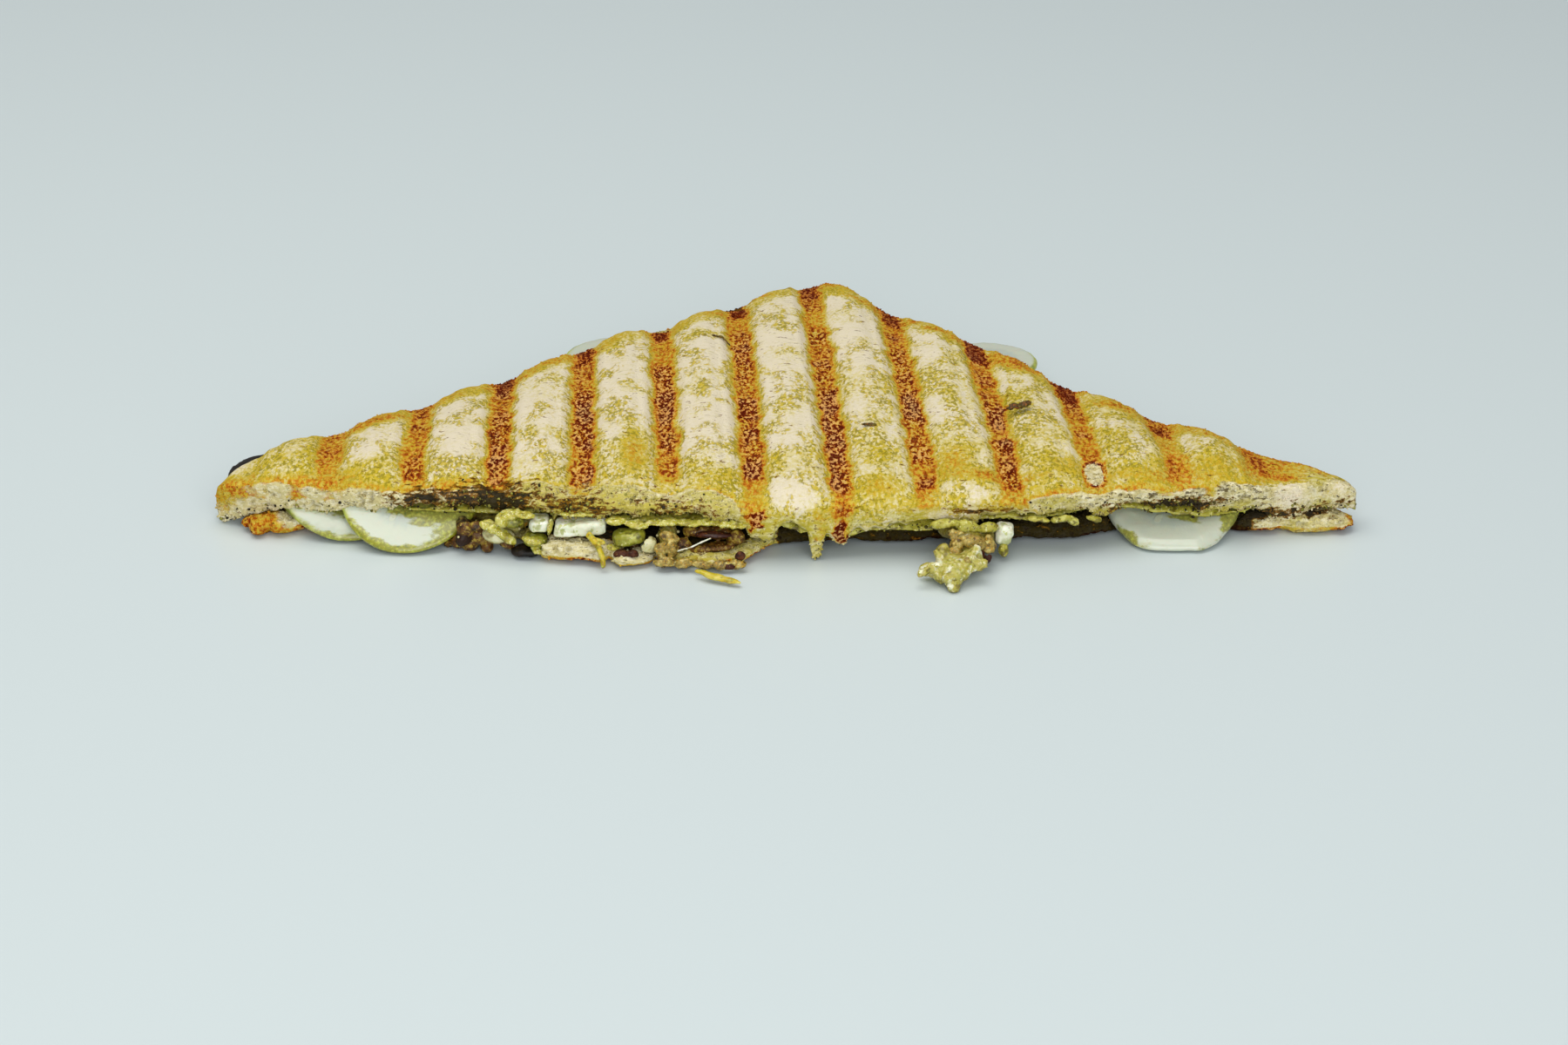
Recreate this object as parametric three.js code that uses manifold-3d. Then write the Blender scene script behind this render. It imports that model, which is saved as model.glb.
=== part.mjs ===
// A grilled green chutney sandwich, cut across the diagonal: one triangular half, lying flat.
// Millimetres, +Z up. X runs along the cut, -Y is the cut side and +Y the bread's own corner.
// The origin is under the middle of the bounding box, on the surface that the sandwich lies on.

import * as THREE from "three";
import Module from "manifold-3d";

const wasm = await Module();
wasm.setup();

// Clearance left between pieces that touch.
const GAP = 0.3;

// Plan of the bread: two blunt tips on the cut, two straight sides and the corner between them.
const TIP_LEFT = -85.85;
const TIP_RIGHT = 82.5;
const TIP_ROUND = 4;
const CUT_Y = -29.6;
const CUT_SKEW = -0.012;
const CUT_BOW = 11.8;
const CUT_BOW_HALF = 88;
const CUT_BOW_CENTRE = -3;
const CORNER = { x: 6.5, y: 54.3 };
const CORNER_ROUND = 2.8;
const SIDE_LEFT = 0.864;
const SIDE_LEFT_SAG = -0.4;
const SIDE_RIGHT = -1.05;
const SIDE_RIGHT_SAG = 6.6;
const SIDE_SPAN = 78;

// The press's ridges leave parallel grooves, nearly square to the cut.
const GROOVE_PITCH = 12.55;
const GROOVE_START = 6.5;
const GROOVE_LEAN = 0.05;
const GROOVE_STEPS = [0, 1.5, 4.2, 6.275, 8.35, 11.05];
const GROOVE_FLOOR_HALF = 1.0;
const GROOVE_WALL_END = 4.4;
const PILLOW = 2.4;
const PILLOW_CROWN = 0.35;

// Where the press bit less: beyond the last pillow at each tip, and along the cut.
const LEFT_PRESS = { none: -84, full: -79 };
const RIGHT_PRESS = { none: 73.5, full: 66 };
const CUT_PRESS = { share: 0.75, full: 10 };

// Heights. The edges are pressed thin and the middle is held up by the filling.
const EDGE_Z = 7.2;
const MIDDLE_Z = 10.4;
const DOME_REACH = 11;
const TOP_SLICE_EDGE = 2.5;
const TOP_SLICE_MIDDLE = 3.3;
const BOTTOM_SLICE_EDGE = 2.5;
const BOTTOM_SLICE_MIDDLE = 3.3;
const CHUTNEY_THICK = 0.8;
const UNDERSIDE_GROOVE = 0.9;

// Where slices of cucumber under the edge hold the top slice up.
const LIFTS = [
  { x: 31, y: 22, reach: 11, rise: 1.3 },
  { x: -29, y: 22, reach: 10, rise: 1 },
  { x: -77, y: -20, reach: 8, rise: 0.5 },
  { x: 61, y: -24, reach: 8, rise: 0.8 },
];

// The cut edge: its top corner, the crumb's lower edge, and what hangs further down.
const CUT_TOP_LEFT = 7.9;
const CUT_TOP_RIGHT = 9.2;
const CUT_CRUMB_Z = 6.2;
const CUT_FALL = 1.4;
const CUT_FALL_REACH = 8;
const CUT_BLEND = 9;
const SAGS = [
  { x: -88, reach: 17, fall: 4.6 },
  { x: 14, reach: 13, fall: 2.7 },
  { x: 66, reach: 10, fall: 2 },
  { x: 87, reach: 8, fall: 2 },
];
const DRIPS = [
  { x: -3.4, reach: 2.3, fall: 4.6 },
  { x: 5, reach: 1.4, fall: 3.8 },
  { x: 46, reach: 4, fall: 1.2 },
  { x: 74, reach: 3.4, fall: 1.9 },
];
const DRIP_DEPTH = 2.6;
const DRIP_SECTION = 2.9;

const smooth = THREE.MathUtils.smoothstep;
const lerp = THREE.MathUtils.lerp;
const clamp = THREE.MathUtils.clamp;
const bell = (x, at, reach) => Math.exp(-(((x - at) / reach) ** 2));

// A smooth, repeatable waviness between about -1 and 1.
function wobble(x, y, seed, scale) {
  const a = Math.sin(x / scale + 1.7 * seed + 0.6 * Math.sin(y / scale + seed));
  const b = Math.sin((0.8 * y - 0.6 * x) / (0.61 * scale) + 4.1 * seed);
  const c = Math.sin((0.5 * x + 0.9 * y) / (0.37 * scale) + 2.3 * seed);
  return 0.5 * a + 0.3 * b + 0.2 * c;
}

// Plan lines of the two crust sides, and the rounded outline that they make together.
const sag = (x) => Math.sin(Math.PI * clamp(Math.abs(x - CORNER.x) / SIDE_SPAN, 0, 1));
const leftSide = (x) => CORNER.y + SIDE_LEFT * (x - CORNER.x) - SIDE_LEFT_SAG * sag(x);
const rightSide = (x) => CORNER.y + SIDE_RIGHT * (x - CORNER.x) - SIDE_RIGHT_SAG * sag(x);

function backY(x) {
  const apart = Math.exp(-leftSide(x) / CORNER_ROUND) + Math.exp(-rightSide(x) / CORNER_ROUND);
  return -CORNER_ROUND * Math.log(apart);
}

// The knife pushed the cut outwards in the middle, so in plan it is a shallow bow.
function cutY(x) {
  const along = clamp((x - CUT_BOW_CENTRE) / CUT_BOW_HALF, -1, 1);
  const bow = CUT_BOW * (1 - along * along) ** 1.2;
  return CUT_Y + CUT_SKEW * x - bow + 0.5 * wobble(x, 0, 3, 5);
}

// How far a point lies inside the crust sides, and how much of the dome it has.
function sideInset(x, y) {
  const left = (leftSide(x) - y) / Math.hypot(1, SIDE_LEFT);
  const right = (rightSide(x) - y) / Math.hypot(1, SIDE_RIGHT);
  return Math.max(0, Math.min(left, right));
}

const domeShare = (x, y) => 1 - Math.exp(-((sideInset(x, y) / DOME_REACH) ** 1.5));

// Distance from the nearest groove's centre line, and the pillow height that it leaves.
function grooveDistance(x, y) {
  const along = x + GROOVE_LEAN * y - GROOVE_START;
  return Math.abs(along - GROOVE_PITCH * Math.round(along / GROOVE_PITCH));
}

function pressShare(x, y) {
  const left = smooth(x, LEFT_PRESS.none, LEFT_PRESS.full);
  const right = 1 - smooth(x, RIGHT_PRESS.full, RIGHT_PRESS.none);
  const cut = lerp(CUT_PRESS.share, 1, smooth(y - cutY(x), 0, CUT_PRESS.full));
  return left * right * cut;
}

function pillow(x, y) {
  const away = grooveDistance(x, y);
  const wall = smooth(away, GROOVE_FLOOR_HALF, GROOVE_WALL_END);
  const crown = smooth(away, GROOVE_WALL_END, GROOVE_PITCH / 2);
  const uneven = 1 + 0.12 * wobble(x, y, 5, 17);
  return pressShare(x, y) * uneven * (PILLOW * wall + PILLOW_CROWN * crown);
}

const lift = (x, y) =>
  LIFTS.reduce((sum, l) => sum + l.rise * bell(Math.hypot(x - l.x, y - l.y), 0, l.reach), 0);

const grooveFloor = (x, y) =>
  lerp(EDGE_Z, MIDDLE_Z, domeShare(x, y)) + lift(x, y) + 0.25 * wobble(x, y, 1, 14);

// Height of the crumb's lower edge along the cut.
function crumbEdge(x) {
  const hang = SAGS.reduce((sum, s) => sum + s.fall * bell(x, s.x, s.reach), 0);
  const y = cutY(x);
  const pressed = grooveFloor(x, y) - lerp(TOP_SLICE_EDGE, TOP_SLICE_MIDDLE, domeShare(x, y));
  return Math.min(CUT_CRUMB_Z, pressed) - hang;
}

const cutTop = (x) => lerp(CUT_TOP_LEFT, CUT_TOP_RIGHT, smooth(x, 8, 32)) - 0.6 * smooth(x, 66, 84);
const dripShare = (x) => DRIPS.reduce((most, d) => Math.max(most, bell(x, d.x, d.reach)), 0);
const dripFall = (x) => DRIPS.reduce((sum, d) => sum + d.fall * bell(x, d.x, d.reach), 0);

// Underside of the top slice: it follows the dome and turns down towards the cut.
function topUnder(x, y) {
  const behind = y - cutY(x);
  const slice = lerp(TOP_SLICE_EDGE, TOP_SLICE_MIDDLE, domeShare(x, y));
  const inside = grooveFloor(x, y) - slice;
  const base = lerp(crumbEdge(x), inside, smooth(behind, 0, CUT_BLEND));
  const drip = dripFall(x) * (1 - smooth(behind, 0.9, DRIP_DEPTH));
  return Math.max(0.5, base - drip);
}

// Grilled face of the top slice, before its edges are rounded.
function topFace(x, y) {
  const behind = Math.max(0, y - cutY(x));
  const fall = CUT_FALL * Math.exp(-((behind / CUT_FALL_REACH) ** 1.5));
  return grooveFloor(x, y) + pillow(x, y) - fall;
}

// The bottom slice stops short of the top one, but its torn middle was pushed out of the cut.
const BOTTOM_CUT_BOW = 5;
const BOTTOM_LEFT_X = -80.6;
const BOTTOM_RIGHT_X = 83;
const TORN = { from: -37, full: -34.5, ebb: -7, to: 0.5, reach: 8.4 };
const RAGGED_EDGE = 0.4;
const RAGGED_TEAR = 0.9;
const BOTTOM_SET_BACK = 1.6;
const NOTCHES = [
  { x: -61, reach: 11, depth: 1.8 },
  { x: -77, reach: 5, depth: -2.6 },
  { x: 57.5, reach: 11, depth: 4.2 },
];

function bottomCutY(x) {
  const along = clamp(x / CUT_BOW_HALF, -1, 1);
  const torn = smooth(x, TORN.from, TORN.full) * (1 - smooth(x, TORN.ebb, TORN.to));
  const ragged = (RAGGED_EDGE + RAGGED_TEAR * torn) * wobble(x, 0, 9, 2.1);
  const notch = NOTCHES.reduce((sum, n) => sum + n.depth * bell(x, n.x, n.reach), 0);
  const bow = BOTTOM_CUT_BOW * (1 - along * along) + TORN.reach * torn;
  return CUT_Y + CUT_SKEW * x - BOTTOM_SET_BACK - bow + ragged + notch;
}

// Top of the bottom slice, thinned where its edge is torn and smeared out.
const TORN_THIN = { depth: 1.2, from: -26, full: -23, near: 2, far: 7 };

function bottomTop(x, y) {
  const slice = lerp(BOTTOM_SLICE_EDGE, BOTTOM_SLICE_MIDDLE, domeShare(x, y));
  const torn = smooth(x, TORN_THIN.from, TORN_THIN.full) * (1 - smooth(x, TORN.ebb, TORN.to));
  const nearCut = 1 - smooth(y - bottomCutY(x), TORN_THIN.near, TORN_THIN.far);
  return slice + 0.2 * wobble(x, y, 8, 11) - TORN_THIN.depth * torn * nearCut;
}

// A point of plan on the section that leans as the grooves do.
const onSection = (s, y) => s - GROOVE_LEAN * y;

// Y where a section meets an outline given as y(x).
function meets(s, outline) {
  let y = 0;
  for (let i = 0; i < 6; i++) y = outline(onSection(s, y));
  return y;
}

// A closed solid lofted through leaning sections. Each section is an upper and a lower row of
// [y, z] points, both from the cut to the crust.
function loft(stations, sectionAt) {
  const positions = [];
  const index = [];
  const sections = stations.map(sectionAt);
  const uppers = sections[0].upper.length;
  const count = uppers + sections[0].lower.length;
  sections.forEach(({ upper, lower }, i) => {
    const loop = [...upper, ...[...lower].reverse()];
    loop.forEach(([y, z]) => positions.push(onSection(stations[i], y), y, z));
  });
  for (let i = 0; i + 1 < sections.length; i++) {
    for (let j = 0; j < count; j++) {
      const a = i * count + j;
      const b = i * count + ((j + 1) % count);
      index.push(a, b, b + count, a, b + count, a + count);
    }
  }
  const cap = ({ upper, lower }, base, turned) => {
    const rowEnd = { up: upper.length - 1, low: lower.length - 1 };
    let up = 0;
    let low = 0;
    while (up < rowEnd.up || low < rowEnd.low) {
      const risesUp = low === rowEnd.low || (up < rowEnd.up && upper[up + 1][0] < lower[low + 1][0]);
      const a = base + up;
      const b = base + count - 1 - low;
      const c = risesUp ? a + 1 : b - 1;
      index.push(...(turned ? [a, b, c] : [a, c, b]));
      if (risesUp) up++;
      else low++;
    }
  };
  cap(sections[0], 0, true);
  cap(sections[sections.length - 1], (sections.length - 1) * count, false);
  return solid(positions, index);
}

// A manifold solid from vertices and triangles, turned right side out.
function solid(positions, index) {
  const build = (triangles) =>
    new wasm.Manifold(
      new wasm.Mesh({
        numProp: 3,
        vertProperties: new Float32Array(positions),
        triVerts: new Uint32Array(triangles),
      }),
    );
  const made = build(index);
  if (made.volume() > 0) return made;
  const flipped = [];
  for (let i = 0; i < index.length; i += 3) flipped.push(index[i], index[i + 2], index[i + 1]);
  return build(flipped);
}

// Places of a row of points from the cut to the crust, close together at both edges.
const EDGE_ROWS_SHARE = 0.42;

function acrossPlaces(front, back, edgeSteps, inner) {
  const width = back - front;
  const steps = edgeSteps.map((step, i) => Math.min(step, (EDGE_ROWS_SHARE * width * i) / edgeSteps.length));
  const last = steps[steps.length - 1];
  const places = steps.map((step) => front + step);
  for (let i = 1; i <= inner; i++) {
    places.push(lerp(front + last, back - last, i / (inner + 1)));
  }
  return [...places, ...steps.map((step) => back - step).reverse()];
}

// How much of its full size a section keeps near the blunt tips.
function tipShare(s, first, last) {
  const near = Math.min(s - first, last - s);
  const t = clamp(1 - near / TIP_ROUND, 0, 1);
  return Math.max(0.45, Math.sqrt(1 - t * t));
}

// Stations at the grooves' floors, walls and crests, with rounded tips.
const TIP_STEPS = [0, 0.7, 2];
const TIP_CLEAR = 2.8;

function grooveStations(first, last, steps, extra = []) {
  const found = new Set([...TIP_STEPS.flatMap((step) => [first + step, last - step]), ...extra]);
  const from = Math.floor((first - GROOVE_START) / GROOVE_PITCH);
  const to = Math.ceil((last - GROOVE_START) / GROOVE_PITCH);
  for (let i = from; i <= to; i++) {
    for (const step of steps) {
      const s = GROOVE_START + i * GROOVE_PITCH + step;
      if (s > first + TIP_CLEAR && s < last - TIP_CLEAR) found.add(s);
    }
  }
  return [...found].sort((a, b) => a - b);
}

// Rounding of a slice's outer corner: the share of the full fall left at an inset.
function roundFall(inset, radius) {
  const t = clamp(1 - inset / radius, 0, 1);
  return 1 - Math.sqrt(1 - t * t);
}

const TOP_EDGE_ROUND = 5;
const TOP_CRUST_ROUND = 3.4;
const TOP_EDGE_STEPS = [0, 0.6, 2, 4.8];
const TOP_SIDE_Z = 1.6;
const TIP_DROP = 1.2;

// The top slice: grilled pillows and grooves above, plain crumb below, hanging drips at the cut.
function topSlice() {
  const sectionAt = (s) => {
    const share = tipShare(s, TIP_LEFT, TIP_RIGHT);
    const cut = meets(s, cutY);
    const crust = meets(s, backY);
    const middle = (cut + crust) / 2;
    const front = lerp(middle, cut, share);
    const back = lerp(middle, crust, share);
    const upper = acrossPlaces(front, back, TOP_EDGE_STEPS, 4).map((y) => {
      const x = onSection(s, y);
      const full = topFace(x, y);
      const cutFall = (full - cutTop(x)) * roundFall(y - front, TOP_EDGE_ROUND);
      const under = topUnder(x, y);
      const crustFall = (full - under - TOP_SIDE_Z) * roundFall(back - y, TOP_CRUST_ROUND);
      return [y, full - Math.max(cutFall, crustFall) - TIP_DROP * (1 - share)];
    });
    const lowerPlaces = acrossPlaces(front + 0.7, back - 0.5, [0, 1.5, 5], 2);
    const lower = lowerPlaces.map((y) => [y, topUnder(onSection(s, y), y)]);
    return { upper, lower };
  };
  return loft(grooveStations(TIP_LEFT, TIP_RIGHT, GROOVE_STEPS, [DRIP_SECTION]), sectionAt);
}

const BOTTOM_STEPS = [0, 2.9, 6.275, 9.65];
const BOTTOM_TOP_ROUND = { radius: 2.4, fall: 0.9 };
const BOTTOM_LOW_ROUND = { radius: 1.6, lift: 0.9 };

// Height of the bottom slice's grilled underside: flat lands with pressed grooves between them.
function underside(x, y) {
  const away = grooveDistance(x, y);
  return UNDERSIDE_GROOVE * (1 - smooth(away, 0.9, 3));
}

// The bottom slice, with its torn and pushed-out middle.
function bottomSlice() {
  const sectionAt = (s) => {
    const share = tipShare(s, BOTTOM_LEFT_X, BOTTOM_RIGHT_X);
    const cut = meets(s, bottomCutY);
    const crust = meets(s, backY) - 0.4;
    const middle = (cut + crust) / 2;
    const front = lerp(middle, cut, share);
    const back = lerp(middle, crust, share);
    const upper = acrossPlaces(front + 0.3, back - 0.3, [0, 1.8], 3).map((y) => {
      const x = onSection(s, y);
      const { radius, fall } = BOTTOM_TOP_ROUND;
      const drop = fall * roundFall(y - front, radius) + TIP_DROP * (1 - share);
      return [y, bottomTop(x, y) - drop];
    });
    const lower = acrossPlaces(front, back, [0, 1.6], 3).map((y) => {
      const x = onSection(s, y);
      const { radius, lift } = BOTTOM_LOW_ROUND;
      const raise = lift * Math.max(roundFall(y - front, radius), roundFall(back - y, radius));
      return [y, Math.max(underside(x, y), raise)];
    });
    return { upper, lower };
  };
  return loft(grooveStations(BOTTOM_LEFT_X, BOTTOM_RIGHT_X, BOTTOM_STEPS), sectionAt);
}

// Stations at an even spacing.
function evenStations(first, last, spacing) {
  const count = Math.ceil((last - first) / spacing);
  return Array.from({ length: count + 1 }, (_, i) => lerp(first, last, i / count));
}

// The green chutney: a thin spread right under the top slice, out to every edge.
const CHUTNEY_LEFT = -78;
const CHUTNEY_RIGHT = 80;

function chutneySpread() {
  const top = (x, y) => topUnder(x, y) - GAP;
  const sectionAt = (s) => {
    const front = meets(s, (x) => cutY(x) + 1.1 + 2.6 * dripShare(x) + 0.4 * wobble(x, 0, 6, 3));
    const back = meets(s, backY) - 1.2;
    const places = acrossPlaces(front, back, [0, 3.2], 2);
    const upper = places.map((y) => [y, top(onSection(s, y), y)]);
    const lower = places.map((y) => [y, top(onSection(s, y), y) - CHUTNEY_THICK]);
    return { upper, lower };
  };
  return loft(evenStations(CHUTNEY_LEFT, CHUTNEY_RIGHT, 5), sectionAt);
}

// The filling of potato and onion: a core that runs through, with an uneven front.
const FILLING_LEFT = -66;
const FILLING_RIGHT = 68;
const FILLING_INSET = 5;
const HOLLOWS = [
  { x: -10.5, reach: 5, depth: 4.5 },
  { x: 12, reach: 6, depth: 3 },
  { x: 72, reach: 5, depth: 5 },
];

function fillingCore() {
  const fillTop = (x, y) => topUnder(x, y) - CHUTNEY_THICK - 2 * GAP;
  const fillBottom = (x, y) => bottomTop(x, y) + GAP;
  const sectionAt = (s) => {
    const front = meets(s, (x) => {
      const edge = Math.max(cutY(x) + 4, bottomCutY(x) + 1);
      const hollow = HOLLOWS.reduce((sum, h) => sum + h.depth * bell(x, h.x, h.reach), 0);
      return edge + 1.1 * (1 + wobble(x, 0, 4, 1.7)) + 2 * dripShare(x) + hollow;
    });
    const back = meets(s, backY) - FILLING_INSET * 1.4;
    const places = acrossPlaces(front, back, [0, 2.2], 2);
    const thick = (y) => {
      const x = onSection(s, y);
      return Math.max(0.35, fillTop(x, y) - fillBottom(x, y));
    };
    const upper = places.map((y) => [y, fillBottom(onSection(s, y), y) + thick(y)]);
    const lower = places.map((y) => [y, fillBottom(onSection(s, y), y)]);
    return { upper, lower };
  };
  return loft(evenStations(FILLING_LEFT, FILLING_RIGHT, 4.6), sectionAt);
}

// A round slice, flat or bent down over a fold that runs along X.
const FOLD_RADIUS = 2.5;

function bent(slice, u, v, offset) {
  const beyond = slice.fold === undefined ? 0 : Math.max(0, slice.fold - (slice.y + v));
  const angle = Math.min(slice.bend ?? 0, beyond / FOLD_RADIUS);
  const straight = beyond - angle * FOLD_RADIUS;
  const flatY = beyond > 0 ? slice.fold : slice.y + v;
  const y = flatY - FOLD_RADIUS * Math.sin(angle) - straight * Math.cos(angle);
  const z = slice.z - FOLD_RADIUS * (1 - Math.cos(angle)) - straight * Math.sin(angle);
  return [slice.x + u, y - offset * Math.sin(angle), z + offset * Math.cos(angle)];
}

const ROUND_SIDES = 20;
const CUTTER_SIDES = 14;

function roundSlice(slice, grow = 0) {
  const half = slice.thick / 2 + grow;
  const sides = grow > 0 && slice.fold === undefined ? CUTTER_SIDES : ROUND_SIDES;
  const radius = (slice.radius + grow) / (sides === CUTTER_SIDES ? Math.cos(Math.PI / sides) : 1);
  const inner = slice.rings ?? [0.5];
  const shell = [
    ...inner.map((share) => [share * radius, half]),
    [radius - 0.35 * half, half],
    [radius, 0],
    [radius - 0.35 * half, -half],
    ...[...inner].reverse().map((share) => [share * radius, -half]),
  ];
  const positions = [...bent(slice, 0, 0, half)];
  for (const [reach, offset] of shell) {
    for (let i = 0; i < sides; i++) {
      const turn = (2 * Math.PI * i) / sides;
      const wavy = reach * (1 + 0.02 * Math.sin(3 * turn + slice.x));
      positions.push(...bent(slice, wavy * Math.cos(turn), wavy * Math.sin(turn), offset));
    }
  }
  positions.push(...bent(slice, 0, 0, -half));
  return shelled(positions, shell.length, sides);
}

// Joins rings of points, listed between a first and a last single point, into a solid.
function shelled(positions, rings, sides) {
  const index = [];
  const end = rings * sides + 1;
  for (let i = 0; i < sides; i++) {
    const next = (i + 1) % sides;
    index.push(0, 1 + i, 1 + next);
    for (let ring = 0; ring + 1 < rings; ring++) {
      const a = 1 + ring * sides + i;
      const b = 1 + ring * sides + next;
      index.push(a, a + sides, b, b, a + sides, b + sides);
    }
    index.push(end, end - sides + next, end - sides + i);
  }
  return solid(positions, index);
}

// A lump or a cube with softened edges: square runs from 1, an egg, down to 0.2, a box.
function lump(piece, grow = 0) {
  const sides = piece.sides ?? 8;
  const rings = piece.rings ?? 4;
  const square = piece.square ?? 1;
  const power = (value) => Math.sign(value) * Math.abs(value) ** square;
  const turn = new THREE.Euler(...(piece.turn ?? [0, 0, 0]));
  const middle = new THREE.Vector3(piece.x, piece.y, piece.z);
  const size = piece.size.map((length) => length / 2 + grow);
  const place = (around, rise) => {
    const flat = power(Math.cos(rise));
    const unit = [power(Math.cos(around)) * flat, power(Math.sin(around)) * flat, power(Math.sin(rise))];
    const rough = 1 + (piece.rough ?? 0.06) * wobble(5 * unit[0], 5 * unit[1] + 4 * unit[2], piece.x, 2);
    const point = new THREE.Vector3(...unit.map((value, i) => value * size[i] * rough));
    return point.applyEuler(turn).add(middle).toArray();
  };
  const positions = [...place(0, Math.PI / 2)];
  for (let ring = 1; ring <= rings; ring++) {
    const rise = Math.PI / 2 - (Math.PI * ring) / (rings + 1);
    for (let i = 0; i < sides; i++) positions.push(...place((2 * Math.PI * (i + 0.5)) / sides, rise));
  }
  positions.push(...place(0, -Math.PI / 2));
  return shelled(positions, rings, sides);
}

// A strip swept through points, wide across Y and thin along Z, tapered at both ends.
function strip(points, wide, thick) {
  const curve = new THREE.CatmullRomCurve3(points.map((p) => new THREE.Vector3(...p)));
  const steps = points.length * 2;
  const side = new THREE.Vector3();
  const up = new THREE.Vector3();
  const positions = [...curve.getPointAt(0).toArray()];
  for (let i = 0; i <= steps; i++) {
    const t = lerp(0.03, 0.97, i / steps);
    const middle = curve.getPointAt(t);
    const along = curve.getTangentAt(t);
    side.set(-along.y, along.x, 0).normalize();
    up.crossVectors(along, side);
    const taper = 0.55 + 0.45 * Math.sin(Math.PI * t);
    for (const [a, b] of [[1, 0], [0.6, 1], [-0.6, 1], [-1, 0], [-0.6, -1], [0.6, -1]]) {
      const point = middle.clone();
      point.addScaledVector(side, (a * taper * wide) / 2);
      point.addScaledVector(up, (b * taper * thick) / 2);
      positions.push(...point.toArray());
    }
  }
  positions.push(...curve.getPointAt(1).toArray());
  return shelled(positions, steps + 1, 6);
}

// Slices of cucumber, and of something dark like beetroot, that show at the edges.
const DROOP_RINGS = [0.36, 0.7];
const ROUND_SLICES = {
  cucumber_left_outer: {
    x: -55.1, y: -30.6, z: 5.4, radius: 10.7, thick: 1.2, fold: -32.5, bend: 0.68, rings: DROOP_RINGS,
  },
  cucumber_left_inner: {
    x: -64.5, y: -26.4, z: 3.9, radius: 10.5, thick: 1.2, fold: -31, bend: 0.8, rings: DROOP_RINGS,
  },
  cucumber_right: {
    x: 57.5, y: -28.2, z: 4.55, radius: 10.5, thick: 2.4, fold: -25.6, bend: 0.34, rings: DROOP_RINGS,
  },
  cucumber_back_right: { x: 33.4, y: 23.4, z: 4.8, radius: 7.8, thick: 1.4 },
  cucumber_back_left: { x: -26.5, y: 21, z: 4.8, radius: 9.2, thick: 1.3 },
  beet_slice_left: { x: -75.4, y: -20, z: 4.3, radius: 8.6, thick: 1 },
};

// The right-hand slice was cut by the knife, and that cut faces outwards.
const KNIFE_Y = -37.4;

// Diced and torn pieces that show in the opening of the cut.
const LUMPS = {
  potato_cube_small: { x: -35.6, y: -38.6, z: 5, size: [3, 3.6, 2], square: 0.4 },
  potato_cube_large: { x: -29.7, y: -38.8, z: 4.7, size: [7.8, 4.4, 2.2], square: 0.35, turn: [0, -0.07, 0] },
  green_lump: { x: -39.4, y: -38.4, z: 5.2, size: [3.6, 3, 2], square: 0.8 },
  pepper_wedge: { x: -36.2, y: -39.4, z: 2.6, size: [4, 3.6, 2.1], square: 0.7, turn: [0, 0.3, 0] },
  onion_petal: { x: -41.6, y: -38.4, z: 2.8, size: [5.6, 3, 2.6], square: 0.8, turn: [0, 0.25, 0] },
  beet_slice_front: { x: -37.6, y: -39.6, z: 1, size: [5, 3.6, 1.5], square: 0.8 },
  green_chunk: { x: -22.6, y: -41, z: 3.9, size: [5.2, 4, 2.4], square: 0.6, turn: [0, -0.2, 0] },
  onion_dice: { x: -19.6, y: -42, z: 3.1, size: [2.6, 2.4, 2.6], square: 0.7 },
  potato_cube_right: { x: 32, y: -39.8, z: 3.9, size: [2.6, 2.8, 3.2], square: 0.5, turn: [0, 0.2, 0] },
};

// Lumps of the filling that stand out at its front, and the heap that fell forwards.
const FILLING_LUMPS = [
  { x: -46.4, y: -35.2, z: 2.5, size: [5, 9.6, 4.4], rough: 0.25 },
  { x: -41, y: -33.4, z: 3.5, size: [9, 9, 3.6], rough: 0.2 },
  { x: -30, y: -34.2, z: 4.5, size: [15, 8.6, 1.9], rough: 0.2 },
  { x: -16.8, y: -38.6, z: 3, size: [3, 11, 4.4], rough: 0.25 },
];
const HEAP_LUMPS = [
  { x: 24, y: -49.6, z: 1.8, size: [4, 5.6, 2.9] },
  { x: 21.4, y: -47.4, z: 1.7, size: [4.8, 3.2, 2.6] },
  { x: 24.4, y: -47, z: 2.2, size: [4.8, 4.6, 4] },
  { x: 27.2, y: -45.4, z: 2.1, size: [4.2, 4, 3.4] },
  { x: 22.8, y: -44.8, z: 3, size: [3, 3.8, 3.4] },
  { x: 26.4, y: -42, z: 3, size: [5.8, 5.6, 4.6] },
  { x: 29, y: -40, z: 3.2, size: [4.6, 4.6, 4.4] },
  { x: 24.6, y: -38.6, z: 3.9, size: [4.6, 4.6, 2.8] },
];
const STRIPS = {
  yellow_shred: { points: [[-12.9, -46.7, 1.3], [-9.5, -48.4, 0.9], [-6, -49.9, 0.7]], wide: 1.5, thick: 0.9 },
  onion_strip: { points: [[-13.6, -39.6, 3.8], [-10.6, -41.6, 4.5], [-6.6, -40.4, 4]], wide: 2.2, thick: 0.9 },
};

// The largest of the bodies that are left when the cutters, grown by the gap, are taken away.
function carve(base, cutters) {
  const left = cutters.reduce((rest, cutter) => rest.subtract(cutter), base);
  const bodies = left.decompose();
  return bodies.reduce((most, body) => (body.volume() > most.volume() ? body : most));
}

const joined = (solids) => solids.reduce((sum, one) => sum.add(one));

const HEAP_ROUGH = 0.16;
const heapWith = (grow) =>
  joined(HEAP_LUMPS.map((piece) => lump({ sides: 7, rings: 3, rough: HEAP_ROUGH, ...piece }, grow)));

const stripWith = ({ points, wide, thick }, grow) => strip(points, wide + 2 * grow, thick + 2 * grow);

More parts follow.
